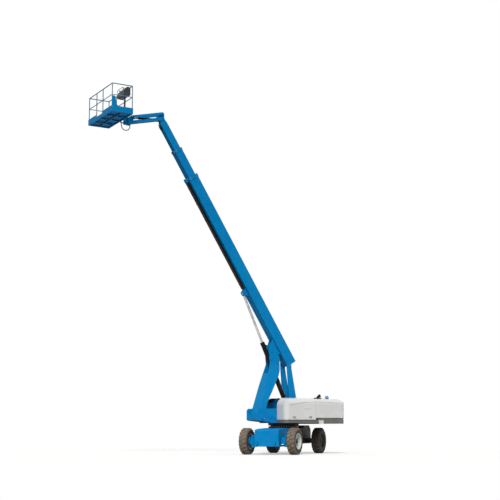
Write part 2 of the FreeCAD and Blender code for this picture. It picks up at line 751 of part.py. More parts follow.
def jib_arm(start, y_range):
    """One tube of the jib with rounded, bored ends."""
    half = JIB_TUBE / 2
    y0, y1 = y_range
    body = block(0, JIB_LENGTH, y0, y1, -half, half)
    ends = [Part.makeCylinder(half, y1 - y0, vec(x, y0, 0), vec(0, 1, 0)) for x in (0, JIB_LENGTH)]
    hollow = block(70, JIB_LENGTH - 70, y0 + 7, y1 - 7, 8 - half, half - 8)
    bores = [
        Part.makeCylinder(JIB_PIN + FIT, y1 - y0 + 2, vec(x, y0 - 1, 0), vec(0, 1, 0))
        for x in (0, JIB_LENGTH)
    ]
    return inclined(cut(fused([body] + ends), bores), start, JIB_ANGLE).cut(
        inclined(hollow, start, JIB_ANGLE))


def jib_diagonal():
    """Angle and length of the jib cylinder, from the lower head pivot to the far upper one."""
    lower, _, _, upper_end = jib_pivots()
    dx = upper_end[0] - lower[0]
    dz = upper_end[1] - lower[1]
    return math.degrees(math.atan2(dz, dx)), math.hypot(dx, dz)


def jib_barrel():
    barrel = Part.makeCylinder(45, JIB_BARREL_LENGTH - 40, vec(40, 0, 0), vec(1, 0, 0))
    eye = Part.makeCylinder(44, 80, vec(0, -40, 0), vec(0, 1, 0))
    pin_bore = Part.makeCylinder(JIB_PIN + FIT, 100, vec(0, -50, 0), vec(0, 1, 0))
    inner = Part.makeCylinder(37, JIB_BARREL_LENGTH - 140, vec(80, 0, 0), vec(1, 0, 0))
    bore = Part.makeCylinder(22 + FIT, 200, vec(JIB_BARREL_LENGTH - 100, 0, 0), vec(1, 0, 0))
    angle, _ = jib_diagonal()
    return inclined(cut(fused([barrel, eye]), [pin_bore, inner, bore]), JIB_LOWER_HEAD, angle)


def jib_rod():
    angle, length = jib_diagonal()
    inside = JIB_BARREL_LENGTH - 360
    rod = Part.makeCylinder(22, length - 30 - inside, vec(inside, 0, 0), vec(1, 0, 0))
    eye = Part.makeCylinder(42, 76, vec(length, -38, 0), vec(0, 1, 0))
    bore = Part.makeCylinder(JIB_PIN, 90, vec(length, -45, 0), vec(0, 1, 0))
    return inclined(fused([rod, eye]).cut(bore), JIB_LOWER_HEAD, angle)


# ---- platform ----------------------------------------------------------------------
def platform_mount():
    """Level mount at the jib's end: plates, rotator housing and hose guide."""
    _, _, lower, upper = jib_pivots()
    inner, outer = HEAD_PLATE_Y
    outline = (
        (upper[0] - 62, upper[1] - 40, 40), (upper[0] - 50, upper[1] + 62, 50),
        (upper[0] + 62, upper[1] + 60, 50), (7392, 13545, 20), (7392, 13296, 20),
        (lower[0] - 60, 13296, 40),
    )
    parts = pair(side_form(outline, inner, outer))
    parts.append(block(7372, 7392, -outer, outer, 13300, 13545))
    parts.append(Part.makeCylinder(90, 260, vec(ROTATOR_X, 0, 13300), vec(0, 0, 1)))
    parts.append(cross_pin(JIB_PIN, lower, -outer, outer))
    parts += pair(cross_pin(JIB_PIN, upper, inner, UPPER_ARM_Y[1] + 5))
    parts.append(block(7235, 7380, -30, 30, 13310, 13345))
    parts.append(block(7540, 7680, -30, 30, 13335, 13365))
    bore = Part.makeCylinder(30 + FIT, 200, vec(ROTATOR_X, 0, 13430), vec(0, 0, 1))
    return fused(parts).cut(bore)


def hose_wire():
    """Hanging hose's centre line: straight runs joined by the largest tangent arcs."""
    points = [vec(x, 0, z) for x, z in HOSE_ROUTE]
    edges = []
    radii = []
    at = points[0]
    for before, corner, after in zip(points, points[1:], points[2:]):
        inward = (before - corner).normalize()
        outward = (after - corner).normalize()
        turn = math.pi - inward.getAngle(outward)
        reach = 0.45 * min((before - corner).Length, (after - corner).Length)
        radius = reach / math.tan(turn / 2)
        bisector = (inward + outward).normalize()
        centre = corner + bisector * math.hypot(reach, radius)
        start = corner + inward * reach
        end = corner + outward * reach
        edges.append(Part.LineSegment(at, start).toShape())
        edges.append(Part.Arc(start, centre - bisector * radius, end).toShape())
        radii.append(radius)
        at = end
    edges.append(Part.LineSegment(at, points[-1]).toShape())
    return Part.Wire(edges), radii


def platform_hose():
    wire, radii = hose_wire()
    direction = wire.Edges[0].tangentAt(wire.Edges[0].FirstParameter)
    circle = Part.Wire(Part.makeCircle(HOSE_RADIUS, vec(HOSE_ROUTE[0][0], 0, HOSE_ROUTE[0][1]), direction))
    tube = wire.makePipeShell([circle], True, True)
    expected = math.pi * HOSE_RADIUS ** 2 * wire.Length
    print("hose radii", [round(radius) for radius in radii])
    print("hose length", round(wire.Length), "volume ratio", round(tube.Volume / expected, 3))
    return tube


def rotator_bracket():
    """Bracket that carries the platform on the rotator's centre pin."""
    top = block(ROTATOR_X - 75, PLATFORM_X[0], -75, 75, 13566, 13596)
    upright = block(PLATFORM_X[0] - 28, PLATFORM_X[0], -75, 75, PLATFORM_BOTTOM, 13596)
    pin = Part.makeCylinder(30, 130, vec(ROTATOR_X, 0, 13440), vec(0, 0, 1))
    return fused([top, upright, pin])


def platform_floor():
    """Platform floor with cross-members and toe boards, one board notched at the entrance."""
    x0, x1 = PLATFORM_X
    y = PLATFORM_Y
    z = PLATFORM_BOTTOM
    outer = block(x0, x1, -y, y, z, z + TOE_BOARD)
    inner = block(x0 + 8, x1 - 8, -y + 8, y - 8, z + 50, z + TOE_BOARD + 10)
    pocket_width = (x1 - x0 - 120) / 2
    pockets = []
    for column in range(2):
        for row in range(4):
            px = x0 + 40 + column * (pocket_width + 40)
            py = -y + 40 + row * 590
            pockets.append(block(px, px + pocket_width, py, py + 550, z - 1, z + 44))
    entrance = block(x1 - 20, x1 + 10, ENTRANCE_Y[0] + 21, ENTRANCE_Y[1] - 21, z + 150, z + 300)
    gusset = side_form(
        ((x1 - 8, z + TOE_BOARD - 20, 0), (x1 - 8, z + 640, 0), (x1 - 150, z + 640, 60),
         (x1 - 210, z + TOE_BOARD + 60, 60), (x1 - 330, z + TOE_BOARD - 20, 0)), y - 8, y)
    anchor = block(x0 + 7, x0 + 90, -906, -894, z + 40, z + 150)
    anchor = anchor.cut(cross_pin(ANCHOR_RADIUS, (x0 + 55, z + 110), -920, -880))
    return fused([cut(outer, [inner] + pockets + [entrance]), gusset, anchor])


def platform_posts():
    """Places (X, Y) of the rail posts, inside the toe boards."""
    inset = 8 + RAIL_RADIUS
    x0 = PLATFORM_X[0] + inset
    x1 = PLATFORM_X[1] - inset
    y = PLATFORM_Y - inset
    front = [(x1, side_y) for side_y in (-y, ENTRANCE_Y[0], ENTRANCE_Y[1], y)]
    rear = [(x0, side_y) for side_y in (-y, -y / 3, y / 3, y)]
    return front, rear


def platform_rails():
    """Posts, top rail and mid-rails; the entrance bay has no fixed mid-rail."""
    front, rear = platform_posts()
    low = PLATFORM_BOTTOM + 50
    top = PLATFORM_BOTTOM + RAIL_HEIGHT - RAIL_RADIUS
    middle = PLATFORM_BOTTOM + 690
    radius = RAIL_RADIUS
    parts = [bar(radius, vec(x, y, low), vec(x, y, top)) for x, y in front + rear]
    corners = [front[0], front[-1], rear[-1], rear[0]]
    for (xa, ya), (xb, yb) in zip(corners, corners[1:] + corners[:1]):
        parts.append(bar(radius, vec(xa, ya, top), vec(xb, yb, top)))
        parts.append(Part.makeSphere(radius, vec(xa, ya, top)))
    runs = [(front[0], front[1]), (front[2], front[3]), (front[3], rear[3]), (rear[3], rear[0]),
            (rear[0], front[0])]
    for (xa, ya), (xb, yb) in runs:
        parts.append(bar(radius * 0.8, vec(xa, ya, middle), vec(xb, yb, middle)))
    return fused(parts)


def platform_gate():
    """Lift-up mid-rail of the entrance, with a half sleeve on each post."""
    front, _ = platform_posts()
    x = front[0][0]
    y0, y1 = ENTRANCE_Y
    z = PLATFORM_BOTTOM + 690
    parts = []
    bores = []
    for y, inward in ((y0, 1), (y1, -1)):
        sleeve = Part.makeCylinder(RAIL_RADIUS + 8, 90, vec(x, y, z - 45), vec(0, 0, 1))
        low, high = sorted((y + 6 * inward, y + 40 * inward))
        parts.append(sleeve.common(block(x - 40, x + 40, low, high, z - 50, z + 50)))
        bores.append(Part.makeCylinder(RAIL_RADIUS + 1, 120, vec(x, y, z - 60), vec(0, 0, 1)))
    parts.append(bar(RAIL_RADIUS * 0.8, vec(x, y0, z), vec(x, y1, z)))
    return cut(fused(parts), bores)


def control_box():
    """Operator's console on the rear rail, and its stalk down to the toe board."""
    x0 = PLATFORM_X[0]
    outline = (
        (x0 - 60, 14260, 40), (x0 - 60, 14610, 40), (x0 + 70, 14640, 30), (x0 + 215, 14470, 40),
        (x0 + 215, 14280, 40),
    )
    box = side_form(outline, 90, 790)
    front, rear = platform_posts()
    rail_z = PLATFORM_BOTTOM + RAIL_HEIGHT - RAIL_RADIUS
    rail = bar(RAIL_RADIUS + 1, vec(rear[0][0], -1300, rail_z), vec(rear[0][0], 1300, rail_z))
    post = bar(RAIL_RADIUS + 1, vec(*rear[2], 13000), vec(*rear[2], 15000))
    stalk = block(x0 + 60, x0 + 110, 540, 600, PLATFORM_BOTTOM + 50, 14280)
    return cut(fused([box, stalk]), [rail, post])


# ---- write -------------------------------------------------------------------------
def save_running_gear():
    save("chassis_frame", slewed(chassis_frame()))
    save("chassis_rear", slewed(chassis_rear()))
    save("slew_ring_lower", slew_ring_lower())
    save("front_axle", slewed(front_axle()))
    save("rear_axle", slewed(rear_axle()))
    save("steer_cylinder", slewed(steer_cylinder()))
    save("steer_rod", slewed(steer_rod()))
    for label, side in (("left", 1), ("right", -1)):
        save("knuckle_" + label, slewed(knuckle(side)))
        for end, x in (("front", HALF_BASE), ("rear", -HALF_BASE)):
            save("tyre_" + end + "_" + label, slewed(tyre(x, side)))
            save("rim_" + end + "_" + label, slewed(rim(x, side)))


def save_turntable():
    save("turntable_frame", turntable_frame())
    save("slew_ring_upper", slew_ring_upper())
    save("turntable_deck", *turntable_deck())
    save("hood_left", hood())
    save("hood_right", mirrored(hood()))
    save("counterweight", counterweight())
    save("counterweight_base", counterweight_base())
    save("engine_block", engine_block())


def save_boom():
    save("lift_link", lift_link())
    save("tension_link", tension_link())
    save("lift_barrel", lift_barrel())
    save("lift_rod", lift_rod())
    save("boom_base", boom_base())
    save("hose_track", hose_track())
    save("boom_mid", boom_mid())
    save("boom_fly", boom_fly())


def save_jib_and_platform():
    lower, upper, _, _ = jib_pivots()
    save("level_head", level_head())
    save("jib_lower", *pair(jib_arm(lower, LOWER_ARM_Y)))
    save("jib_upper", *pair(jib_arm(upper, UPPER_ARM_Y)))
    save("jib_barrel", jib_barrel())
    save("jib_rod", jib_rod())
    save("platform_mount", platform_mount())
    save("platform_hose", platform_hose())
    save("rotator_bracket", rotator_bracket())
    save("platform_floor", platform_floor())
    save("platform_rails", platform_rails())
    save("platform_gate", platform_gate())
    save("control_box", control_box())


os.makedirs("parts", exist_ok=True)
save_running_gear()
save_turntable()
save_boom()
save_jib_and_platform()
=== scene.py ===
"""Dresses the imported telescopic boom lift: finishes, wheels, hose, fittings, camera and light.

The row frame is used throughout: metres, +Z up, +X along the raised boom, origin on the ground
under the slew axis. The chassis heads 36 degrees left of the boom.
"""
import json
import logging
import math
from collections.abc import Callable, Iterable
from dataclasses import dataclass
from enum import Enum

import bmesh
import bpy
from mathutils import Matrix, Vector

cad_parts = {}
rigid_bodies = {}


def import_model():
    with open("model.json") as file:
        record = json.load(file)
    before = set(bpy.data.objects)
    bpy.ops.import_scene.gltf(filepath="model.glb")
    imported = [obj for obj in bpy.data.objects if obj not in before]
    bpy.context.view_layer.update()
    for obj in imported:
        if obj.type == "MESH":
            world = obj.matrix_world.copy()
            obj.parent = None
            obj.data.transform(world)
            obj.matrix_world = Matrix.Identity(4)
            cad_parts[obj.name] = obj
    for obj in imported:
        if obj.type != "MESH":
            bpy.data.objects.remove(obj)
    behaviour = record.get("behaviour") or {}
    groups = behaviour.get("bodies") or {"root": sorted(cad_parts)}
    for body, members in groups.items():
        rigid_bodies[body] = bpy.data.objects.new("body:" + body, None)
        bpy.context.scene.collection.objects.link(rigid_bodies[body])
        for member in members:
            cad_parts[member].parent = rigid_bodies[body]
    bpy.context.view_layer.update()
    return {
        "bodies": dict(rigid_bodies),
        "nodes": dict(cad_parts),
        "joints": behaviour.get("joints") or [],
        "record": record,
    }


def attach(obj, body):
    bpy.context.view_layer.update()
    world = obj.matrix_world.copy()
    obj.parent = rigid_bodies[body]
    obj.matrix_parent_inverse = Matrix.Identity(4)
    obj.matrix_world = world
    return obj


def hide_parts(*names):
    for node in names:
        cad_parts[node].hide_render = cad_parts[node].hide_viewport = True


LOG = logging.getLogger("boom_lift")
Point = tuple[float, float, float]
Flat = tuple[float, float]
FaceTest = Callable[[Vector, Vector], bool]
SIDES = (("left", 1), ("right", -1))


class Axis(Enum):
    """Directions that a round or extruded shape can run in."""

    X = (1.0, 0.0, 0.0)
    Y = (0.0, 1.0, 0.0)
    Z = (0.0, 0.0, 1.0)


# ---- finishes ----------------------------------------------------------------------
def linear(hex_colour: str) -> tuple[float, float, float, float]:
    """Turn an sRGB hex colour into linear values.

    Args:
        hex_colour: Six hex digits.

    Returns:
        Linear red, green, blue and an alpha of 1.
    """
    values = [int(hex_colour[i:i + 2], 16) / 255 for i in (0, 2, 4)]
    turned = [v / 12.92 if v <= 0.04045 else ((v + 0.055) / 1.055) ** 2.4 for v in values]
    return (turned[0], turned[1], turned[2], 1.0)


def feed(node: bpy.types.Node, inputs: dict[str | int, object]) -> None:
    """Set a node's inputs, each to a value or to the socket that feeds it.

    Args:
        node: The node.
        inputs: Values and sockets, by the input's name or number.
    """
    for key, value in inputs.items():
        if isinstance(value, bpy.types.NodeSocket):
            node.id_data.links.new(value, node.inputs[key])
        else:
            node.inputs[key].default_value = value


def add_node(
    tree: bpy.types.NodeTree,
    kind: str,
    inputs: dict[str | int, object] | None = None,
    **properties: object,
) -> bpy.types.Node:
    """Add one node with its properties and inputs.

    Args:
        tree: The node tree.
        kind: The node's class name.
        inputs: Values and feeding sockets, by the input's name or number.
        properties: Values for the node's own properties.

    Returns:
        The new node.
    """
    node = tree.nodes.new(kind)
    for key, value in properties.items():
        setattr(node, key, value)
    feed(node, inputs or {})
    return node


def object_place(tree: bpy.types.NodeTree) -> bpy.types.NodeSocket:
    """Socket with the place in the object's own frame."""
    return add_node(tree, "ShaderNodeTexCoord").outputs["Object"]


def calculate(
    tree: bpy.types.NodeTree, operation: str, first: object, second: object
) -> bpy.types.NodeSocket:
    """Result of a sum on two numbers or sockets."""
    return add_node(tree, "ShaderNodeMath", {0: first, 1: second}, operation=operation).outputs[0]


def mix_colours(
    tree: bpy.types.NodeTree, share: bpy.types.NodeSocket, first: object, second: object
) -> bpy.types.NodeSocket:
    """Blend two colours, each an sRGB hex colour or a socket.

    Args:
        tree: The node tree.
        share: Socket with the share of the second colour.
        first: Colour at a share of 0.
        second: Colour at a share of 1.

    Returns:
        The blended colour's socket.
    """
    ends = [linear(colour) if isinstance(colour, str) else colour for colour in (first, second)]
    node = add_node(tree, "ShaderNodeMix", {0: share, 6: ends[0], 7: ends[1]}, data_type="RGBA")
    return node.outputs[2]


def noise(tree: bpy.types.NodeTree, size_mm: float, detail: float = 2.0) -> bpy.types.NodeSocket:
    """Noise in the object's own frame, with a given real size.

    Args:
        tree: The node tree.
        size_mm: Size of a blotch in millimetres.
        detail: Octaves of finer noise.

    Returns:
        The noise value's socket.
    """
    inputs = {
        "Vector": object_place(tree), "Scale": 1000 / size_mm, "Detail": detail, "Roughness": 0.55}
    return add_node(tree, "ShaderNodeTexNoise", inputs).outputs["Fac"]


def ramp(
    tree: bpy.types.NodeTree, value: bpy.types.NodeSocket, low: Flat, high: Flat
) -> bpy.types.NodeSocket:
    """Map a value range to another, clamped.

    Args:
        tree: The node tree.
        value: The socket to map.
        low: Input and output at the low end.
        high: Input and output at the high end.

    Returns:
        The mapped value's socket.
    """
    inputs = {
        "Value": value, "From Min": low[0], "From Max": high[0], "To Min": low[1], "To Max": high[1]}
    return add_node(tree, "ShaderNodeMapRange", inputs).outputs[0]


def blotches(
    tree: bpy.types.NodeTree, size_mm: float, detail: float, low: Flat, high: Flat
) -> bpy.types.NodeSocket:
    """Noise of a given real size, mapped to another range."""
    return ramp(tree, noise(tree, size_mm, detail), low, high)


def bump(
    tree: bpy.types.NodeTree, height: bpy.types.NodeSocket, depth_mm: float, strength: float
) -> bpy.types.NodeSocket:
    """Turn a height into a normal of the given real depth."""
    inputs = {"Distance": depth_mm / 1000, "Strength": strength, "Height": height}
    return add_node(tree, "ShaderNodeBump", inputs).outputs[0]


def new_tree(name: str) -> tuple[bpy.types.Material, bpy.types.NodeTree, bpy.types.Node]:
    """Make an empty material with a Principled shader.

    Args:
        name: The material's name.

    Returns:
        The material, its node tree and its Principled node.
    """
    material = bpy.data.materials.new(name)
    material.use_nodes = True
    tree = material.node_tree
    tree.nodes.clear()
    shader = add_node(tree, "ShaderNodeBsdfPrincipled")
    add_node(tree, "ShaderNodeOutputMaterial", {"Surface": shader.outputs[0]})
    return material, tree, shader


@dataclass(frozen=True)
class MachineEnamel:
    """Two-pack enamel sprayed on steel: semi-gloss, faint orange peel, site dust low down."""

    name: str
    colour: str
    faded: str
    dust: str = "8E8576"
    roughness: float = 0.42
    coat: float = 0.0
    gloss: float = 0.25
    dust_top: float = 1.6
    dust_share: float = 0.35
    peel_mm: float = 9.0       # real peel is about 2 mm; drawn coarser so that it shows

    def build(self) -> bpy.types.Material:
        """Return the material with fading, dust and peel."""
        material, tree, shader = new_tree(self.name)
        fading = blotches(tree, 900, 3, (0.35, 0.0), (0.7, 1.0))
        paint = mix_colours(tree, fading, self.colour, self.faded)
        height = add_node(tree, "ShaderNodeSeparateXYZ", {"Vector": object_place(tree)}).outputs["Z"]
        low = ramp(tree, height, (0.2, self.dust_share), (self.dust_top, 0.03))
        share = calculate(tree, "MULTIPLY", low, blotches(tree, 160, 5, (0.38, 0.0), (0.72, 1.0)))
        feed(shader, {
            "Base Color": mix_colours(tree, share, paint, self.dust),
            "Roughness": blotches(tree, 220, 4, (0.3, self.roughness), (0.75, self.roughness + 0.14)),
            "Normal": bump(tree, noise(tree, self.peel_mm, 1), 0.25, 0.35),
            "Coat Weight": self.coat,
            "Coat Roughness": 0.12,
            "Specular IOR Level": self.gloss,
        })
        return material


@dataclass(frozen=True)
class PlatedSteel:
    """Plated steel: polished chrome under an oil film, or blotched zinc on bolts and pins."""

    name: str
    colour: str
    dull: str
    blotch_mm: float
    blotch_end: float
    wipe_mm: float
    wipe_detail: float
    roughness: Flat

    def build(self) -> bpy.types.Material:
        """Return the material with its blotches and an uneven polish."""
        material, tree, shader = new_tree(self.name)
        film = blotches(tree, self.blotch_mm, 3, (0.35, 0.0), (self.blotch_end, 1.0))
        low, high = self.roughness
        feed(shader, {
            "Base Color": mix_colours(tree, film, self.colour, self.dull),
            "Roughness": blotches(tree, self.wipe_mm, self.wipe_detail, (0.3, low), (0.7, high)),
            "Metallic": 1.0,
        })
        return material


@dataclass(frozen=True)
class TyreRubber:
    """Foam-filled tyre rubber: black and matt where clean, tan where dry soil clings."""

    name: str
    clean: str = "1E1D1B"
    soil: str = "7E7061"
    soil_low: float = 0.1
    soil_high: float = 0.85

    def build(self) -> bpy.types.Material:
        """Return the material with soil patches and a fine grain."""
        material, tree, shader = new_tree(self.name)
        patches = blotches(tree, 70, 6, (0.3, self.soil_low), (0.68, self.soil_high))
        feed(shader, {
            "Base Color": mix_colours(tree, patches, self.clean, self.soil),
            "Roughness": 0.88,
            "Specular IOR Level": 0.3,
            "Normal": bump(tree, noise(tree, 6, 3), 0.8, 0.6),
        })
        return material


@dataclass(frozen=True)
class Moulded:
    """Moulded plastic or extruded rubber: even colour, fine grain, dull wear patches."""

    name: str
    colour: str
    worn: str
    roughness: float = 0.55
    grain_mm: float = 3.0

    def build(self) -> bpy.types.Material:
        """Return the material with grain and wear."""
        material, tree, shader = new_tree(self.name)
        wear = blotches(tree, 90, 4, (0.42, 0.0), (0.75, 1.0))
        feed(shader, {
            "Base Color": mix_colours(tree, wear, self.colour, self.worn),
            "Roughness": blotches(tree, 60, 2, (0.3, self.roughness), (0.7, self.roughness + 0.12)),
            "Normal": bump(tree, noise(tree, self.grain_mm, 2), 0.2, 0.4),
        })
        return material


@dataclass(frozen=True)
class Lens:
    """Clear or tinted acrylic lens: smooth and glossy, with the faint ribs of its mould."""

    name: str
    colour: str
    cleared: str = "E8EEF2"
    rib_scale: float = 19.9045

    def build(self) -> bpy.types.Material:
        """Return the material with moulded ribs."""
        material, tree, shader = new_tree(self.name)
        wave = {"Scale": self.rib_scale, "Vector": object_place(tree)}
        ribs = add_node(tree, "ShaderNodeTexWave", wave).outputs["Fac"]
        share = blotches(tree, 30, 2, (0.3, 0.0), (0.7, 0.25))
        feed(shader, {
            "Base Color": mix_colours(tree, share, self.colour, self.cleared),
            "Normal": bump(tree, ribs, 0.6, 0.4),
            "Roughness": 0.12,
            "Coat Weight": 0.6,
        })
        return material


class Paint(Enum):
    """Every finish on the machine, by its place."""

    BLUE = MachineEnamel("blue_machine_enamel", "0077B2", "007EB8", dust_share=0.05, gloss=0.03)
    GREY = MachineEnamel(
        "pale_grey_gelcoat", "C2C3C2", "CBCBC9", roughness=0.34, coat=0.15, gloss=0.4, dust_share=0.15)
    DARK_GREY = MachineEnamel("dark_grey_enamel", "5C5B58", "6A6864", roughness=0.5)
    BLACK = MachineEnamel("black_chassis_enamel", "0B0B0B", "141312", gloss=0.12)
    RAIL = MachineEnamel("rail_grey_enamel", "668A95", "7798A2")
    RIM = MachineEnamel(
        "off_white_wheel_enamel", "C6CACB", "B4B8B8", roughness=0.4, dust_share=0.6, dust_top=0.9)
    # Rear rims: painted shade, drawn dark for the counterweight's shadow instead of the off-white of the
    # front rims.
    REAR_RIM = MachineEnamel(
        "dark_wheel_enamel", "2C2D2D", "353534", roughness=0.5, dust_share=0.3, dust_top=0.9)
    CHROME = PlatedSteel("hard_chrome_rod", "C9CCD0", "9AA0A4", 120, 0.7, 40, 3, (0.1, 0.24))
    ZINC = PlatedSteel("zinc_plated_steel", "A9ADAF", "7C7F80", 12, 0.65, 20, 2, (0.32, 0.5))
    TREAD = TyreRubber("tyre_tread_rubber", soil_low=0.45, soil_high=0.95)
    # Rear treads: painted shade, with the soil cut back so that they read dark as under the counterweight's
    # shadow.
    REAR_TREAD = TyreRubber("rear_tread_rubber", soil_low=0.0, soil_high=0.25)
    SIDEWALL = TyreRubber("tyre_sidewall_rubber", soil_low=0.0, soil_high=0.35)
    HOSE = Moulded("hose_rubber", "1B1C1D", "34332F", 0.6, 2.0)
    CONSOLE = Moulded("console_black_plastic", "101A1E", "1F2A2E", 0.45)
    # Grey seam rubber for the seals; the same darker grey also paints the shade of the hood creases and of
    # the grip recess.
    SEAM = Moulded("grey_seam_rubber", "949492", "9E9E9B", 0.6)
    PLATE = Moulded("blank_control_plate", "2B3133", "394043", 0.4)
    RED = Moulded("red_stop_button_plastic", "B3151A", "8E1216", 0.35)
    YELLOW = Moulded("yellow_knob_plastic", "D9A514", "B98B12", 0.4)
    LENS = Lens("smoke_blue_lens", "2E6F9E")

    @property
    def material(self) -> bpy.types.Material:
        """The finish's material, built on first use."""
        return bpy.data.materials.get(self.value.name) or self.value.build()


# ---- modelling ---------------------------------------------------------------------
@dataclass(frozen=True)
class Place:
    """Where a piece drawn in its own frame stands: an origin, a heading and a rise."""

    origin: Point = (0.0, 0.0, 0.0)
    heading: float = 0.0
    rise: float = 0.0

    @property
    def matrix(self) -> Matrix:
        """The move from the piece's own frame to the row frame."""
        turn = Matrix.Rotation(math.radians(self.heading), 4, "Z")
        return Matrix.Translation(self.origin) @ turn @ Matrix.Rotation(-math.radians(self.rise), 4, "Y")


ROW = Place()
CHASSIS = Place(heading=36.0)
BOOM = Place(origin=(-0.317, 0.0, 3.780), rise=58.0)


def smooth_curve(
    name: str, points: list[Point], radius: float, roundness: int, steps: int
) -> bpy.types.Object:
    """Round cord along a smooth line through its end points and near the others.

    Args:
        name: The curve's name.
        points: Places that shape the line.
        radius: Radius of the cord.
        roundness: Bevel resolution of the cord's section.
        steps: Curve resolution between two points.

    Returns:
        The curve object, linked to the scene.
    """
    data = bpy.data.curves.new(name, "CURVE")
    data.dimensions = "3D"
    data.bevel_depth = radius
    data.bevel_resolution = roundness
    data.resolution_u = steps
    spline = data.splines.new("NURBS")
    spline.points.add(len(points) - 1)
    for point, place in zip(spline.points, points):
        point.co = (*place, 1.0)
    spline.order_u = 3
    spline.use_endpoint_u = True
    curve = bpy.data.objects.new(name, data)
    bpy.context.scene.collection.objects.link(curve)
    return curve


class Shape:
    """A mesh modelled with operators, which ends as one finished piece."""

    def __init__(self, name: str) -> None:
        """Take the object that an operator has just added.

        Args:
            name: The piece's name.
        """
        self.obj = bpy.context.active_object
        self.renamed(name)

    @classmethod
    def block(cls, name: str, low: Point, high: Point) -> "Shape":
        """Start from a cube between two opposite corners, given in either order."""
        bpy.ops.object.select_all(action="DESELECT")
        middle = [(a + b) / 2 for a, b in zip(low, high)]
        bpy.ops.mesh.primitive_cube_add(size=1, location=middle)
        shape = cls(name)
        shape.obj.scale = [abs(b - a) for a, b in zip(low, high)]
        return shape.apply_transform()

    @classmethod
    def rod(cls, name: str, start: Point, end: Point, radius: float, sides: int = 24) -> "Shape":
        """Start from a cylinder between two points."""
        bpy.ops.object.select_all(action="DESELECT")
        line = Vector(end) - Vector(start)
        middle = (Vector(start) + Vector(end)) / 2
        bpy.ops.mesh.primitive_cylinder_add(
            vertices=sides, radius=radius, depth=line.length, location=middle)
        shape = cls(name)
        shape.obj.rotation_mode = "QUATERNION"
        shape.obj.rotation_quaternion = line.to_track_quat("Z", "Y")
        return shape.apply_transform()

    @classmethod
    def outline(cls, name: str, points: Iterable[Flat], axis: Axis, start: float, end: float) -> "Shape":
        """Start from a filled ring set to an outline, extruded along an axis.

        Args:
            name: The piece's name.
            points: Outline in the plane across the axis: (X, Z) for Y, (Y, Z) for X, (X, Y) for Z.
            axis: Direction of the extrusion.
            start: Where the extrusion starts on the axis.
            end: Where it ends.

        Returns:
            The new shape.
        """
        bpy.ops.object.select_all(action="DESELECT")
        places = [cls.lifted(point, axis, start) for point in points]
        bpy.ops.mesh.primitive_circle_add(vertices=len(places), radius=1, fill_type="NGON")
        shape = cls(name)
        for vertex, place in zip(shape.obj.data.vertices, places):
            vertex.co = place
        shape.pick(lambda centre, normal: True)
        move = [part * (end - start) for part in axis.value]
        bpy.ops.mesh.extrude_region_move(TRANSFORM_OT_translate={"value": move})
        return shape.leave_edit().recalculate()

    @staticmethod
    def lifted(point: Flat, axis: Axis, height: float) -> Point:
        """Put a flat point into space, at a height on the axis across its plane."""
        a, b = point
        return {Axis.X: (height, a, b), Axis.Y: (a, height, b), Axis.Z: (a, b, height)}[axis]

    @classmethod
    def lathe(cls, name: str, profile: Iterable[Flat], steps: int = 48) -> "Shape":
        """Start from a closed profile spun about the Y axis.

        Args:
            name: The piece's name.
            profile: Closed outline as (offset along Y, radius) points.
            steps: Facets in a full turn.

        Returns:
            The new shape.
        """
        points = list(profile)
        bpy.ops.object.select_all(action="DESELECT")
        bpy.ops.mesh.primitive_circle_add(vertices=len(points), radius=1, fill_type="NOTHING")
        shape = cls(name)
        for vertex, (offset, radius) in zip(shape.obj.data.vertices, points):
            vertex.co = (radius, offset, 0.0)
        shape.activate()
        bpy.ops.object.mode_set(mode="EDIT")
        bpy.ops.mesh.select_all(action="SELECT")
        bpy.ops.mesh.spin(steps=steps, angle=math.tau, center=(0, 0, 0), axis=Axis.Y.value)
        return shape.leave_edit().recalculate()

    @classmethod
    def sleeve(
        cls, name: str, start: Point, end: Point, outer: float, inner: float, steps: int = 40
    ) -> "Shape":
        """Start from a chamfered ring between two points, open along its middle."""
        line = Vector(end) - Vector(start)
        edge = min(0.15 * line.length, 0.3 * (outer - inner))
        profile = [
            (0.0, inner), (line.length, inner), (line.length, outer - edge),
            (line.length - edge, outer), (edge, outer), (0.0, outer - edge),
        ]
        shape = cls.lathe(name, profile, steps)
        turn = line.to_track_quat("Y", "Z").to_matrix().to_4x4()
        shape.obj.data.transform(Matrix.Translation(start) @ turn)
        return shape

    @classmethod
    def tube(cls, name: str, points: Iterable[Point], radius: float) -> "Shape":
        """Start from a round tube along a smooth line through or near the points."""
        curve = smooth_curve(name, list(points), radius, 3, 8)
        curve.data.use_fill_caps = True
        bpy.ops.object.select_all(action="DESELECT")
        curve.select_set(True)
        bpy.context.view_layer.objects.active = curve
        bpy.ops.object.convert(target="MESH")
        return cls(name)

    def activate(self) -> "Shape":
        """Make this the only selected and the active object."""
        bpy.ops.object.select_all(action="DESELECT")
        self.obj.select_set(True)
        bpy.context.view_layer.objects.active = self.obj
        return self

    def apply_transform(self) -> "Shape":
        """Put the object's place, turn and scale into its mesh."""
        self.activate()
        bpy.ops.object.transform_apply(location=True, rotation=True, scale=True)
        return self

    def leave_edit(self) -> "Shape":
        """Return to object mode."""
        if bpy.context.mode == "EDIT_MESH":
            bpy.ops.object.mode_set(mode="OBJECT")
        return self

    def pick(self, test: FaceTest) -> "Shape":
        """Enter edit mode with the faces selected whose centre and normal pass a test."""
        self.activate()
        bpy.ops.object.mode_set(mode="EDIT")
        bpy.ops.mesh.select_mode(type="FACE")
        bpy.ops.mesh.select_all(action="DESELECT")
        mesh = bmesh.from_edit_mesh(self.obj.data)
        for face in mesh.faces:
            face.select_set(test(face.calc_center_median(), face.normal))
        bmesh.update_edit_mesh(self.obj.data)
        return self

    def inset(self, test: FaceTest, thickness: float, depth: float = 0.0) -> "Shape":
        """Inset the faces that pass a test, and sink or raise what is inside."""
        self.pick(test)
        bpy.ops.mesh.inset(thickness=thickness, depth=depth)
        return self.leave_edit()

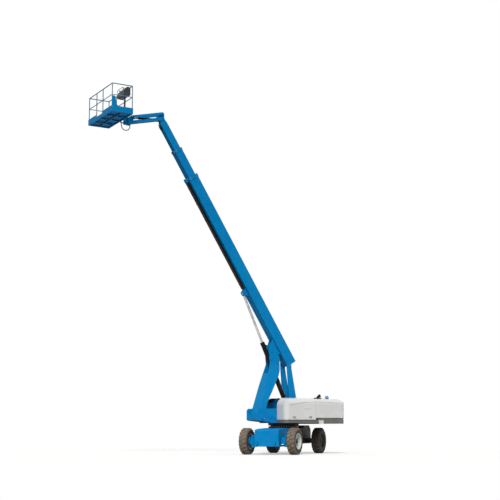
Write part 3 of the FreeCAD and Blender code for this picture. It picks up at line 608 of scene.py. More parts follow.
    def extrude(self, test: FaceTest, move: Point, scale: float = 1.0) -> "Shape":
        """Extrude the faces that pass a test, then scale the new end about its middle."""
        self.pick(test)
        bpy.ops.mesh.extrude_region_move(TRANSFORM_OT_translate={"value": move})
        if scale != 1.0:
            mesh = bmesh.from_edit_mesh(self.obj.data)
            ends = [v.co.copy() for v in mesh.verts if v.select]
            middle = sum(ends, Vector()) / len(ends)
            bpy.ops.transform.resize(value=(scale, scale, scale), center_override=middle)
        return self.leave_edit()

    def modify(self, kind: str, **settings: object) -> "Shape":
        """Add a modifier with its settings and apply it."""
        self.activate()
        bpy.ops.object.modifier_add(type=kind)
        modifier = self.obj.modifiers[-1]
        for key, value in settings.items():
            setattr(modifier, key, value)
        bpy.ops.object.modifier_apply(modifier=modifier.name)
        return self

    def bevel(self, width: float, segments: int = 2) -> "Shape":
        """Round the sharp edges."""
        return self.modify(
            "BEVEL", width=width, segments=segments, limit_method="ANGLE", angle_limit=math.radians(35))

    def row(self, count: int, step: Point) -> "Shape":
        """Repeat the shape in a row with a fixed step."""
        return self.modify(
            "ARRAY", count=count, use_relative_offset=False, use_constant_offset=True,
            constant_offset_displace=step)

    def copied(self, moves: Iterable[Matrix]) -> "Shape":
        """Replace the shape by joined copies, each with its own mesh.

        Args:
            moves: One matrix for each copy.

        Returns:
            The joined shape.
        """
        copies = []
        for move in moves:
            twin = self.obj.copy()
            twin.data = self.obj.data.copy()
            twin.data.transform(move)
            if move.determinant() < 0:
                twin.data.flip_normals()
            bpy.context.scene.collection.objects.link(twin)
            copies.append(twin)
        name = self.obj.name
        bpy.data.objects.remove(self.obj)
        self.obj = copies[0]
        return self.joined(copies[1:]).renamed(name)

    @classmethod
    def merged(cls, shapes: list["Shape"]) -> "Shape":
        """Join shapes into the first of them, which keeps its name."""
        return shapes[0].joined(shapes[1:])

    def joined(self, others: Iterable[object]) -> "Shape":
        """Join other shapes or objects into this one."""
        self.activate()
        for other in others:
            getattr(other, "obj", other).select_set(True)
        bpy.ops.object.join()
        return self

    def renamed(self, name: str) -> "Shape":
        """Give the object and its mesh a name."""
        self.obj.name = name
        self.obj.data.name = name
        return self

    def ring(self, count: int, centre: Point, axis: Axis, first: float = 0.0) -> "Shape":
        """Repeat the shape in a ring about an axis through a centre."""
        there = Matrix.Translation(centre)
        back = Matrix.Translation(-Vector(centre))
        turns = [first + math.tau * index / count for index in range(count)]
        return self.copied([there @ Matrix.Rotation(a, 4, Vector(axis.value)) @ back for a in turns])

    def both_sides(self) -> "Shape":
        """Add the mirror image across the XZ plane."""
        return self.copied([Matrix.Identity(4), Matrix.Diagonal((1, -1, 1, 1))])

    def recalculate(self) -> "Shape":
        """Merge doubles and point the normals outwards."""
        self.activate()
        bpy.ops.object.mode_set(mode="EDIT")
        bpy.ops.mesh.select_all(action="SELECT")
        bpy.ops.mesh.remove_doubles(threshold=1e-5)
        bpy.ops.mesh.normals_make_consistent(inside=False)
        return self.leave_edit()

    def finish(
        self, body: str, slot: str, paint: Paint, place: Place = ROW, smooth: float = 38.0
    ) -> bpy.types.Object:
        """Place, shade and paint the piece and let it ride on a body.

        Args:
            body: The CAD body that carries it.
            slot: The record's material slot; not used.
            paint: The piece's finish.
            place: Where the piece's own frame stands.
            smooth: Edges sharper than this many degrees stay sharp.

        Returns:
            The finished object.
        """
        self.obj.data.transform(place.matrix)
        self.activate()
        bpy.ops.object.shade_smooth_by_angle(angle=math.radians(smooth))
        self.obj.data.materials.clear()
        self.obj.data.materials.append(paint.material)
        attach(self.obj, body)
        return self.obj


def facing(axis: Axis, way: int = 1) -> FaceTest:
    """Test for the faces that look along an axis, or against it with a way of -1."""
    return lambda centre, normal: normal.dot(Vector(axis.value)) * way > 0.9


def bolt_set(
    name: str, places: Iterable[Point], axis: Axis, across: float, height: float
) -> Shape:
    """Several equal bolts as one shape.

    Args:
        name: The piece's name.
        places: Centres of the washers' undersides.
        axis: Direction that the heads point in.
        across: Width of each head across its corners.
        height: Height of each head; a negative one points the other way.

    Returns:
        The bolts' shape.
    """
    first = hex_bolt(name, (0, 0, 0), axis, across, height)
    return first.copied([Matrix.Translation(place) for place in places])


def hex_bolt(name: str, at: Point, axis: Axis, across: float, height: float) -> Shape:
    """Hexagon head on a washer, standing on a face.

    Args:
        name: The piece's name.
        at: Centre of the washer's underside.
        axis: Direction that the head points in.
        across: Width of the head across its corners.
        height: Height of the head; a negative one points the other way.

    Returns:
        The bolt's shape.
    """
    direction = Vector(axis.value) * math.copysign(1, height)
    base = Vector(at)
    top = base + direction * abs(height)
    washer = base + direction * abs(height) * 0.25
    head = Shape.rod(name, washer, top, across / 2, 6).bevel(across * 0.04, 1)
    return head.joined([Shape.rod(name + "_washer", base, washer, across * 0.62, 16)])


# ---- studio ------------------------------------------------------------------------
@dataclass(frozen=True)
class Studio:
    """Low camera, pale floor, plain soft light and a white background."""

    camera_at: Point = (24.615, 39.392, 1.10)
    looks_along: Point = (-0.49765, -0.85214, 0.16188)
    roll: float = -0.2
    lens: float = 77.95
    key_towards: Point = (-0.42, -0.58, -0.70)
    key_strength: float = 2.85
    fill_towards: Point = (-0.75, -0.60, -0.28)
    fill_strength: float = 0.25
    sky: float = 0.55
    floor_lift: float = 0.40
    floor_radius: float = 15.0

    def build(self) -> None:
        """Add the camera, the lamps, the floor and the world."""
        self.add_camera()
        self.add_sun("key_light", self.key_towards, self.key_strength, 14)
        self.add_sun("fill_light", self.fill_towards, self.fill_strength, 60)
        self.add_floor()
        self.set_world()
        bpy.context.scene.view_settings.view_transform = "Standard"

    def add_camera(self) -> None:
        """Add the camera and make it the scene's."""
        data = bpy.data.cameras.new("camera")
        data.lens = self.lens
        data.sensor_width = 36
        data.clip_end = 500
        camera = bpy.data.objects.new("camera", data)
        turn = Vector(self.looks_along).to_track_quat("-Z", "Y").to_matrix().to_4x4()
        roll = Matrix.Rotation(math.radians(self.roll), 4, "Z")
        camera.matrix_world = Matrix.Translation(self.camera_at) @ turn @ roll
        bpy.context.scene.collection.objects.link(camera)
        bpy.context.scene.camera = camera

    @staticmethod
    def add_sun(name: str, towards: Point, strength: float, spread: float) -> None:
        """Add a soft sun that shines towards a direction."""
        data = bpy.data.lights.new(name, "SUN")
        data.energy = strength
        data.angle = math.radians(spread)
        lamp = bpy.data.objects.new(name, data)
        lamp.rotation_mode = "QUATERNION"
        lamp.rotation_quaternion = Vector(towards).to_track_quat("-Z", "Y")
        bpy.context.scene.collection.objects.link(lamp)

    def add_floor(self) -> None:
        """Add the floor, which looks white to the camera and keeps the shadow."""
        bpy.ops.object.select_all(action="DESELECT")
        bpy.ops.mesh.primitive_circle_add(vertices=96, radius=self.floor_radius, fill_type="NGON")
        floor = bpy.context.active_object
        floor.name = "studio_floor"
        material, tree, shader = new_tree("pale_studio_floor")
        seen = self.rays(tree, "Is Camera Ray", "Is Glossy Ray")
        feed(shader, {
            "Base Color": mix_colours(tree, noise(tree, 4000, 2), "BABAB9", "BEBEBD"),
            "Roughness": 0.9,
            "Specular IOR Level": 0.0,
            "Emission Strength": calculate(tree, "MULTIPLY", seen, self.floor_lift),
            "Emission Color": (1, 1, 1, 1),
        })
        floor.data.materials.append(material)

    def set_world(self) -> None:
        """Light evenly from the sky and show white to the camera and to glossy surfaces."""
        world = bpy.data.worlds.new("studio")
        bpy.context.scene.world = world
        world.use_nodes = True
        tree = world.node_tree
        tree.nodes.clear()
        seen = self.rays(tree, "Is Camera Ray", "Is Glossy Ray", "Is Transmission Ray")
        way = add_node(tree, "ShaderNodeTexCoord").outputs["Generated"]
        height = add_node(tree, "ShaderNodeSeparateXYZ", {"Vector": way}).outputs["Z"]
        lights = [
            add_node(tree, "ShaderNodeBackground", {"Strength": strength, "Color": (1, 1, 1, 1)})
            for strength in (ramp(tree, height, (-0.12, 0.02), (0.25, self.sky)), 1.0)
        ]
        sky, white = [light.outputs[0] for light in lights]
        both = add_node(tree, "ShaderNodeMixShader", {0: seen, 1: sky, 2: white})
        add_node(tree, "ShaderNodeOutputWorld", {"Surface": both.outputs[0]})

    @staticmethod
    def rays(tree: bpy.types.NodeTree, *kinds: str) -> bpy.types.NodeSocket:
        """Socket that is 1 for any of the named kinds of ray."""
        path = add_node(tree, "ShaderNodeLightPath")
        seen = path.outputs[kinds[0]]
        for kind in kinds[1:]:
            seen = calculate(tree, "MAXIMUM", seen, path.outputs[kind])
        return seen


# ---- hose --------------------------------------------------------------------------
@dataclass(frozen=True)
class PlatformHose:
    """Sheathed bundle of cables that hangs in one loop under the platform mount."""

    diameter: float = 0.036
    length: float = 0.75
    route: tuple[Flat, ...] = (
        (7.265, 13.310), (7.265, 13.225), (7.290, 13.138), (7.352, 13.078), (7.436, 13.052),
        (7.522, 13.060), (7.590, 13.108), (7.632, 13.180), (7.645, 13.265), (7.645, 13.335),
    )

    def build(self) -> bpy.types.Object:
        """Returns:
            The curve object.
        """
        points = [(x, 0.0, z) for x, z in self.route]
        hose = smooth_curve("platform_hose_bundle", points, self.diameter / 2, 6, 12)
        hose.data.materials.append(Paint.HOSE.material)
        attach(hose, "platform_mount")
        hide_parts("platform_hose")
        return hose


# ---- wheels ------------------------------------------------------------------------
@dataclass(frozen=True)
class Wheel:
    """Rough-terrain wheel: spun carcass, cleats over both shoulders, nuts and hub cap."""

    radius: float = 0.545
    lug_height: float = 0.028
    width: float = 0.370
    bead: float = 0.315
    track: float = 1.055
    half_base: float = 1.420
    steps: int = 80
    lugs: int = 20
    cleat_width: float = 0.062
    slant: float = 14.0
    nuts: int = 9
    nut_circle: float = 0.165

    def profile(self) -> list[Flat]:
        """Outline of the carcass as (offset, radius) points, outwards and back."""
        half = self.width / 2
        tread = self.radius - self.lug_height
        right = [
            (half - 0.030, self.bead), (half - 0.006, self.bead + 0.028), (half, self.bead + 0.070),
            (half, self.bead + 0.110), (half - 0.010, tread - 0.055), (half - 0.030, tread - 0.018),
            (half - 0.065, tread - 0.003), (half - 0.110, tread),
        ]
        return right + [(-offset, radius) for offset, radius in reversed(right)]

    def cleat(self, turn: float) -> Shape:
        """One tread cleat: slanted from the middle of the tread and down over the shoulder.

        Args:
            turn: Angle of the cleat about the axle, in radians.

        Returns:
            The cleat of the left half of the tread.
        """
        middle = self.width / 4
        slant = math.radians(self.slant)
        half = self.cleat_width / 2
        top = math.sqrt(self.radius ** 2 - (half + (middle - 0.010) * math.sin(slant)) ** 2)
        outline = [
            (0.495, 0.010), (top, 0.010), (top, 0.145), (top - 0.085, 0.178), (top - 0.085, 0.120)]
        shape = Shape.outline("cleat", outline, Axis.Z, -half, half)
        lean = Matrix.Translation((0, middle, 0)) @ Matrix.Rotation(slant, 4, "X")
        spin = Matrix.Rotation(turn, 4, "Y")
        shape.obj.data.transform(spin @ lean @ Matrix.Translation((0, -middle, 0)))
        return shape.bevel(0.005, 2)

    def tyre(self, name: str) -> Shape:
        """Carcass with a ring of cleats on each side, half a pitch apart."""
        step = math.tau / self.lugs
        first = math.pi / 2 + step / 4
        left = self.cleat(first).ring(self.lugs, (0, 0, 0), Axis.Y)
        right = self.cleat(first).copied([Matrix.Diagonal((-1, -1, 1, 1))])
        right = right.ring(self.lugs, (0, 0, 0), Axis.Y)
        return Shape.lathe(name, self.profile(), self.steps).joined([left, right]).renamed(name)

    def hub(self, name: str) -> Shape:
        """Wheel nuts on their circle, with chamfered ends."""
        face = 0.038
        nut = Shape.rod(name, (self.nut_circle, face, 0), (self.nut_circle, face + 0.026, 0), 0.019, 6)
        nut.extrude(facing(Axis.Y), (0, 0.014, 0), 0.55).bevel(0.0015, 1)
        return nut.ring(self.nuts, (0, 0, 0), Axis.Y)

    def cap(self, name: str) -> Shape:
        """Domed cap over the end of the drive hub, with a raised rim."""
        shape = Shape.rod(name, (0, 0.080, 0), (0, 0.112, 0), 0.098, 40)
        shape.inset(facing(Axis.Y), 0.014, 0.0)
        shape.extrude(lambda c, n: n.y > 0.9 and c.xz.length < 0.01, (0, 0.014, 0), 0.72)
        return shape.bevel(0.004, 3)

    def build(self) -> None:
        """Make the four wheels' tyres, nuts and caps."""
        for side, sign in SIDES:
            for end, x in (("front", self.half_base), ("rear", -self.half_base)):
                self.build_one(end + "_" + side, x, sign)

    def build_one(self, label: str, x: float, sign: int) -> None:
        """Make one wheel.

        Args:
            label: End and side of the wheel.
            x: The axle's place on the chassis.
            sign: 1 on the left, -1 on the right.
        """
        body = "wheel_" + label
        turn = 0.0 if sign > 0 else 180.0
        centre = CHASSIS.matrix @ Vector((x, sign * self.track, self.radius))
        place = Place(tuple(centre), CHASSIS.heading + turn)
        # The rear tyres take the tread with painted shade.
        tread = Paint.TREAD if x > 0 else Paint.REAR_TREAD
        tyre = self.tyre("cleated_tyre_" + label).finish(body, "tyre", tread, place, 50)
        tyre.data.materials.append(Paint.SIDEWALL.material)
        outwards = place.matrix.to_3x3() @ Vector(Axis.Y.value)
        for face in tyre.data.polygons:
            arm = face.center - centre
            out = arm - outwards * arm.dot(outwards)
            face.material_index = 0 if out.length > self.radius - 0.075 else 1
        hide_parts("tyre_" + label)
        self.hub("wheel_nuts_" + label).finish(body, "chrome_rod", Paint.ZINC, place)
        self.cap("hub_cap_" + label).finish(body, "rim_paint", Paint.BLACK, place)


# ---- running gear ------------------------------------------------------------------
@dataclass(frozen=True)
class RunningGear:
    """Caps, bolts, joints and lines of the axles, steering gear and slew ring."""

    half_base: float = 1.420
    frame_half: float = 0.530
    kingpin_y: float = 0.800
    yoke: Flat = (0.310, 0.780)
    hub_height: float = 0.545
    steer_x: float = 1.260
    steer_height: float = 0.520
    motor_bolt_circle: float = 0.150
    ring_bolt_circle: float = 0.603
    ring_bolts: int = 36

    def build(self) -> None:
        """Add the fittings of both axles, the steering gear and the ring."""
        for label, side in SIDES:
            self.add_kingpin_caps(label, side)
            self.add_ball_joint(label, side)
            self.add_motor_bolts("front_" + label, "knuckle_" + label, self.half_base, side * 0.880, side)
            self.add_motor_bolts("rear_" + label, "chassis", -self.half_base, side * 0.850, side)
            self.add_motor_hoses(label, side)
        self.add_steering_glands()
        self.add_gearbox_cover()
        self.add_ring_bolts()
        self.add_frame_covers()

    def add_kingpin_caps(self, label: str, side: int) -> None:
        """Bolted caps over both ends of a kingpin, with a grease nipple on top."""
        x, y = self.half_base, side * self.kingpin_y
        low, high = self.yoke
        cap = Shape.rod("kingpin_caps_" + label, (x, y, high), (x, y, high + 0.012), 0.056, 32)
        parts = [Shape.rod("lower_cap", (x, y, low - 0.012), (x, y, low), 0.056, 32)]
        parts.append(Shape.rod("grease_nipple", (x, y, high), (x, y, high + 0.026), 0.006, 12))
        for height, reach in ((high + 0.012, 0.010), (low - 0.012, -0.010)):
            bolt = hex_bolt("cap_bolt", (x + 0.038, y, height), Axis.Z, 0.018, reach)
            parts.append(bolt.ring(4, (x, y, 0), Axis.Z, math.radians(45)))
        cap.bevel(0.002, 1).joined(parts).finish("knuckle_" + label, "chrome_rod", Paint.ZINC, CHASSIS)

    def add_ball_joint(self, label: str, side: int) -> None:
        """Rubber boot under the steering arm's tip and the nut above it."""
        x, y = self.steer_x, side * self.kingpin_y
        boot = Shape.rod("ball_joint_boot_" + label, (x, y, 0.542), (x, y, 0.554), 0.027, 24)
        boot.bevel(0.004, 2).finish("steer_rod", "hose_rubber", Paint.HOSE, CHASSIS)
        nut = hex_bolt("ball_joint_nut_" + label, (x, y, 0.600), Axis.Z, 0.042, 0.024)
        nut.joined([Shape.rod("stud", (x, y, 0.600), (x, y, 0.632), 0.010, 16)])
        nut.finish("knuckle_" + label, "chrome_rod", Paint.ZINC, CHASSIS)

    def add_motor_bolts(self, label: str, body: str, x: float, y: float, side: int) -> None:
        """Ring of bolts on the inner face of a drive hub's motor."""
        centre = (x, y, self.hub_height)
        at = (x, y, self.hub_height + self.motor_bolt_circle)
        bolt = hex_bolt("drive_hub_bolts_" + label, at, Axis.Y, 0.022, -side * 0.014)
        bolt.ring(12, centre, Axis.Y).finish(body, "chrome_rod", Paint.ZINC, CHASSIS)

    def add_motor_hoses(self, label: str, side: int) -> None:
        """Two oil hoses from the rear drive motor to the frame, with crimped ends."""
        x = -self.half_base
        hoses, ends = [], []
        for offset in (-0.045, 0.045):
            start = (x + 0.085, side * 0.800 + offset * 0.2, 0.560 + offset)
            points = [
                start,
                (x + 0.190, side * 0.790, 0.565 + offset),
                (x + 0.235, side * 0.700, 0.640 + offset),
                (x + 0.240, side * 0.600, 0.720 + offset),
                (x + 0.235, side * self.frame_half, 0.735 + offset),
            ]
            hoses.append(Shape.tube("drive_hoses_" + label, points, 0.012))
            ends.append(Shape.rod("crimp", start, (x + 0.125, start[1], start[2]), 0.016, 12))
            flange = (x + 0.235, side * (self.frame_half + 0.022), 0.735 + offset)
            ends.append(Shape.rod("bulkhead", flange, points[-1], 0.020, 6))
        Shape.merged(hoses).finish("chassis", "hose_rubber", Paint.HOSE, CHASSIS)
        crimps = Shape.merged(ends).renamed("drive_hose_ends_" + label)
        crimps.finish("chassis", "chrome_rod", Paint.ZINC, CHASSIS)

    def add_steering_glands(self) -> None:
        """Screwed glands at both ends of the steering cylinder, and its two ports."""
        x, z = self.steer_x, self.steer_height
        glands = []
        for side in (1, -1):
            start, end = (x, side * 0.236, z), (x, side * 0.262, z)
            glands.append(Shape.sleeve("steering_glands", start, end, 0.049, 0.0255, 32))
            port = Shape.rod("port", (x, side * 0.200, z + 0.040), (x, side * 0.200, z + 0.070), 0.014, 6)
            glands.append(port)
        Shape.merged(glands).finish("chassis", "chrome_rod", Paint.ZINC, CHASSIS)

    def add_gearbox_cover(self) -> None:
        """Domed cover and its bolts on the back of the rear gearbox."""
        x, z = -self.half_base - 0.150, 0.560
        cover = Shape.rod("gearbox_cover", (x, 0, z), (x - 0.018, 0, z), 0.150, 48)
        cover.extrude(facing(Axis.X, -1), (-0.030, 0, 0), 0.8).bevel(0.006, 2)
        cover.finish("chassis", "black_paint", Paint.BLACK, CHASSIS)
        bolt = hex_bolt("gearbox_bolts", (x, 0, z + 0.170), Axis.X, 0.020, -0.012)
        bolt.ring(12, (x, 0, z), Axis.X).finish("chassis", "chrome_rod", Paint.ZINC, CHASSIS)

    def add_ring_bolts(self) -> None:
        """Bolts round the slew ring's lower flange, and those seen on the base plate."""
        lower = hex_bolt("slew_ring_bolts", (self.ring_bolt_circle, 0, 1.138), Axis.Z, 0.032, 0.020)
        lower.ring(self.ring_bolts, (0, 0, 0), Axis.Z).finish("chassis", "chrome_rod", Paint.ZINC)
        turns = [math.tau * k / self.ring_bolts for k in range(self.ring_bolts)]
        reach = self.ring_bolt_circle
        spots = [(reach * math.cos(a), reach * math.sin(a), 1.316) for a in turns]
        seen = [spot for spot in spots if abs(spot[1]) < 0.38]
        upper = bolt_set("turntable_ring_bolts", seen, Axis.Z, 0.032, 0.020)
        upper.finish("turntable", "chrome_rod", Paint.ZINC)

    def add_frame_covers(self) -> None:
        """Bolted inspection plates on the frame's flanks."""
        low, high = (0.120, 0.600), (0.640, 0.900)
        for label, side in SIDES:
            inner, outer = side * self.frame_half, side * (self.frame_half + 0.006)
            plate = Shape.block(
                "frame_cover_" + label, (low[0], inner, low[1]), (high[0], outer, high[1]))
            plate.bevel(0.002, 2).finish("chassis", "blue_paint", Paint.BLUE, CHASSIS)
            spots = [
                (x, outer, z)
                for x in (low[0] + 0.03, (low[0] + high[0]) / 2, high[0] - 0.03)
                for z in (low[1] + 0.03, high[1] - 0.03)
            ]
            bolts = bolt_set("frame_cover_bolts_" + label, spots, Axis.Y, 0.018, side * 0.009)
            bolts.finish("chassis", "chrome_rod", Paint.ZINC, CHASSIS)


# ---- pivots and cylinders ----------------------------------------------------------
@dataclass(frozen=True)
class PivotPin:
    """Both ends of a pivot pin: a chamfered head, a keeper plate and its bolts."""

    name: str
    body: str
    at: Flat
    face: float
    radius: float
    keeper: float | None = None

    def build(self) -> None:
        """Add the heads on both sides, and the keepers where the pin has them."""
        x, z = self.at
        depth = 0.2 * self.radius
        start, end = (x, self.face, z), (x, self.face + depth, z)
        head = Shape.rod(self.name + "_heads", start, end, self.radius, 40)
        head.bevel(0.15 * self.radius, 2)
        nipple = Shape.rod("nipple", (x, self.face, z), (x, self.face + depth + 0.010, z), 0.006, 12)
        head.joined([nipple]).both_sides().finish(self.body, "blue_paint", Paint.BLUE)
        if self.keeper is not None:
            self.add_keeper(x, z)

    def add_keeper(self, x: float, z: float) -> None:
        """Flat keeper that bears on the pin's head, held by two bolts."""
        turn = math.radians(self.keeper)
        along = Vector((math.cos(turn), 0.0, math.sin(turn)))
        across = Vector((-along.z, 0.0, along.x))
        centre = Vector((x, self.face, z)) + along * self.radius * 1.25
        half = 0.6 * self.radius
        plate = Shape.block(self.name + "_keepers", (-0.016, 0.0, -half), (0.016, 0.010, half))
        frame = Matrix((along, Vector(Axis.Y.value), across)).transposed().to_4x4()
        plate.obj.data.transform(Matrix.Translation(centre) @ frame)
        face = centre + Vector((0, 0.010, 0))
        spots = [tuple(face + across * share * self.radius) for share in (-0.4, 0.4)]
        bolts = bolt_set("keeper_bolts", spots, Axis.Y, 0.018, 0.009)
        plate.bevel(0.002, 1).joined([bolts]).both_sides().recalculate()
        plate.finish(self.body, "chrome_rod", Paint.ZINC)


PINS = (
    PivotPin("link_foot_pin", "turntable", (1.280, 1.500), 0.4565, 0.062, 215.0),
    PivotPin("link_head_pin", "boom_base", (0.650, 4.280), 0.1810, 0.052),
    PivotPin("cylinder_trunnion_pin", "lift_barrel", (0.700, 3.930), 0.1810, 0.050),
    PivotPin("tension_head_pin", "tension_link", (-0.140, 3.800), 0.2850, 0.052, 250.0),
    PivotPin("lift_rod_pin", "boom_base", (1.9596, 6.6968), 0.0800, 0.040),
    PivotPin("boom_nose_pin", "level_head", (5.850, 13.780), 0.1140, 0.042),
    PivotPin("jib_foot_pin", "level_head", (6.022, 13.695), 0.1100, 0.034),
    PivotPin("jib_shoulder_pin", "level_head", (5.907, 13.940), 0.1730, 0.032),
    PivotPin("mount_foot_pin", "platform_mount", (7.305, 13.3846), 0.1100, 0.034),
    PivotPin("mount_shoulder_pin", "platform_mount", (7.190, 13.6296), 0.1730, 0.032),
)


@dataclass(frozen=True)
class Cylinder:
    """End cap, gland, ports and steel line of a hydraulic cylinder, drawn along its X axis."""

    name: str
    body: str
    rod_body: str
    place: Place
    span: Flat
    radius: float
    rod_radius: float
    rod_end: float | None = None
    line_side: float = 1.0

    def build(self) -> None:
        """Add the fittings that ride on the barrel and on the rod."""
        low, high = self.span
        outer = self.radius * 1.08
        gland = Shape.sleeve(
            self.name + "_gland", (high, 0, 0), (high + 0.35 * self.radius, 0, 0),
            outer, self.rod_radius + 0.0015)
        band = Shape.sleeve(
            "band", (high - 0.9 * self.radius, 0, 0), (high - 0.25 * self.radius, 0, 0),
            outer, self.radius + 0.0005)
        gland.joined([band]).finish(self.body, "black_paint", Paint.BLACK, self.place)
        self.add_line(low, high)
        if self.rod_end is not None:
            self.add_collar(self.rod_end)

    def add_collar(self, end: float) -> None:
        """Collar on the rod, in front of its eye."""
        collar = Shape.sleeve(
            self.name + "_rod_collar", (end - 0.9 * self.rod_radius, 0, 0), (end, 0, 0),
            self.rod_radius * 1.16, self.rod_radius + 0.0003)
        collar.finish(self.rod_body, "black_paint", Paint.BLACK, self.place)

    def add_line(self, low: float, high: float) -> None:
        """Port blocks at both ends, the steel line between them and its clips."""
        up = self.line_side
        rise = up * (self.radius + 0.022)
        size = 0.30 * self.radius
        blocks = []
        for x in (low + 0.9 * self.radius, high - 1.6 * self.radius):
            foot, top = up * self.radius * 0.96, rise + up * 0.014
            port = Shape.block(self.name + "_ports", (x - size, -size, foot), (x + size, size, top))
            blocks.append(port.bevel(0.004, 2))
        start, end = low + 0.9 * self.radius + size, high - 1.6 * self.radius - size
        clips = max(2, round((end - start) / 0.45))
        for index in range(clips):
            x = start + (index + 0.5) * (end - start) / clips
            foot, top = up * self.radius * 0.97, rise + up * 0.010
            clip = Shape.block("clip", (x - 0.012, -0.018, foot), (x + 0.012, 0.018, top))
            blocks.append(clip.bevel(0.002, 1))
        Shape.merged(blocks).finish(self.body, "black_paint", Paint.BLACK, self.place)
        line = Shape.rod(self.name + "_steel_line", (start, 0, rise), (end, 0, rise), 0.0075, 16)
        line.finish(self.body, "chrome_rod", Paint.ZINC, self.place)


CYLINDERS = (
    Cylinder(
        "lift_cylinder", "lift_barrel", "lift_rod", Place((0.700, 0.0, 3.930), rise=65.5223),
        (-1.770, 0.770), 0.092, 0.052, 2.985),
    Cylinder(
        "jib_cylinder", "jib_barrel", "jib_rod", Place((6.022, 0.0, 13.695), rise=-3.2042),
        (0.040, 0.900), 0.045, 0.022, line_side=-1.0),
)


# ---- turntable covers --------------------------------------------------------------
@dataclass(frozen=True)
class Covers:
    """Creases, seals, latches, louvres and handles of the hoods and the rear casting."""

    nodes: dict[str, bpy.types.Object]
    outer_y: float = 1.150
    bottom: float = 1.420
    seam_x: float = -0.899
    crease: tuple[Flat, ...] = (
        (0.391, 2.017), (0.300, 2.040), (0.145, 2.068), (0.020, 2.088), (-0.102, 2.103),
        (-0.300, 2.120), (-0.500, 2.136), (-0.700, 2.148), (-0.885, 2.152),
    )
    rear_crease: tuple[Flat, ...] = (
        (-0.915, 2.152), (-1.200, 2.150), (-1.500, 2.142), (-1.800, 2.126), (-2.050, 2.100),
    )

    def build(self) -> None:
        """Add the fittings of both sides."""
        for label, side in SIDES:
            self.add_crease("hood_crease_" + label, "hood_" + label, "hood_" + label, self.crease, side)
            self.add_crease("rear_crease_" + label, "counterweight", "turntable", self.rear_crease, side)
            self.add_seal(label, side)
            self.add_latches(label, side)
            self.add_grip(label, side)
        self.add_louvres()

    def surface(self, node: str, x: float, z: float, side: int) -> float:
        """Sideways place of a node's outer surface at a height and length."""
        hit, place, _, _ = self.nodes[node].ray_cast(Vector((x, side * 2.0, z)), Vector((0, -side, 0)))
        return place.y if hit else side * self.outer_y

    def add_crease(self, name: str, node: str, body: str, points: tuple[Flat, ...], side: int) -> None:
        """Moulded crease along a flank, drawn as a low bead on the surface in a darker grey that paints the
        crease's shade.
        """
        line = [(x, self.surface(node, x, z, side), z) for x, z in points]
        bead = Shape.tube(name, line, 0.0075)
        bead.finish(body, "dark_grey_paint", Paint.SEAM)

    def add_seal(self, label: str, side: int) -> None:
        """Bulb seal in the seam between a hood and the rear casting, and along its lower edge."""
        points = []
        for z in (1.440, 1.700, 1.900, 2.020, 2.090, 2.150, 2.200, 2.240):
            skin = self.surface("counterweight", self.seam_x - 0.012, z, side)
            points.append((self.seam_x, skin - side * 0.008, z))
        seal = Shape.tube("hood_seal_" + label, points, 0.006)
        edge = self.bottom - 0.004
        lower = [
            (x, side * (self.outer_y - 0.012), edge)
            for x in (self.seam_x + 0.02, -0.5, 0.0, 0.395)
        ] + [(0.560, side * 1.110, edge), (0.585, side * 0.950, edge), (0.588, side * 0.480, edge)]
        strip = Shape.tube("strip", lower, 0.005)
        seal.joined([strip]).finish("turntable", "hose_rubber", Paint.SEAM)

    def add_latches(self, label: str, side: int) -> None:
        """Two paddle latches low on a hood: recess, paddle and lock."""
        trays, paddles = [], []
        for x in (-0.620, 0.180):
            face = side * self.outer_y
            inner, outer = face - side * 0.004, face + side * 0.004
            tray = Shape.block(
                "latch_trays_" + label, (x - 0.070, inner, 1.475), (x + 0.070, outer, 1.555))
            tray.inset(facing(Axis.Y, side), 0.010, -0.005).bevel(0.003, 2)
            trays.append(tray)
            outer = face + side * 0.009
            paddle = Shape.block(
                "latch_paddles_" + label, (x - 0.052, face, 1.490), (x + 0.030, outer, 1.540))
            start, end = (x + 0.044, face, 1.515), (x + 0.044, face + side * 0.008, 1.515)
            lock = Shape.rod("lock", start, end, 0.009, 20)
            paddles.append(paddle.bevel(0.003, 2).joined([lock]))
        Shape.merged(trays).finish("hood_" + label, "black_paint", Paint.BLACK)
        Shape.merged(paddles).finish("hood_" + label, "chrome_rod", Paint.ZINC)

    def add_grip(self, label: str, side: int) -> None:
        """Moulded hand grip below the crease: a slot with a rolled edge, in a darker grey that paints the
        shade in its recess.
        """
        inner, outer = side * (self.outer_y - 0.004), side * (self.outer_y + 0.005)
        slot = Shape.block("hood_grip_" + label, (-0.646, inner, 1.846), (-0.347, outer, 1.876))
        slot.inset(facing(Axis.Y, side), 0.006, -0.006).bevel(0.002, 2)
        slot.finish("hood_" + label, "dark_grey_paint", Paint.SEAM)

    def add_louvres(self) -> None:
        """Two banks of louvres on the engine's side, each blade tilted outwards."""
        face = -self.outer_y
        for bank, x0 in (("front", -0.150), ("rear", -0.620)):
            frame = Shape.block(
                "louvre_frame_" + bank, (x0, face - 0.006, 1.640), (x0 + 0.380, face + 0.004, 1.960))
            frame.inset(facing(Axis.Y, -1), 0.016, -0.005).bevel(0.002, 1)
            frame.finish("hood_right", "dark_grey_paint", Paint.BLACK)
            section = ((0.001, 0.0), (0.011, -0.010), (0.011, -0.014), (0.001, -0.008))
            outline = [(face - out, z + 1.935) for out, z in section]
            blade = Shape.outline(
                "louvre_blades_" + bank, outline, Axis.X, x0 + 0.020, x0 + 0.360)
            blade.row(11, (0, 0, -0.0255)).finish("hood_right", "grey_paint", Paint.GREY)


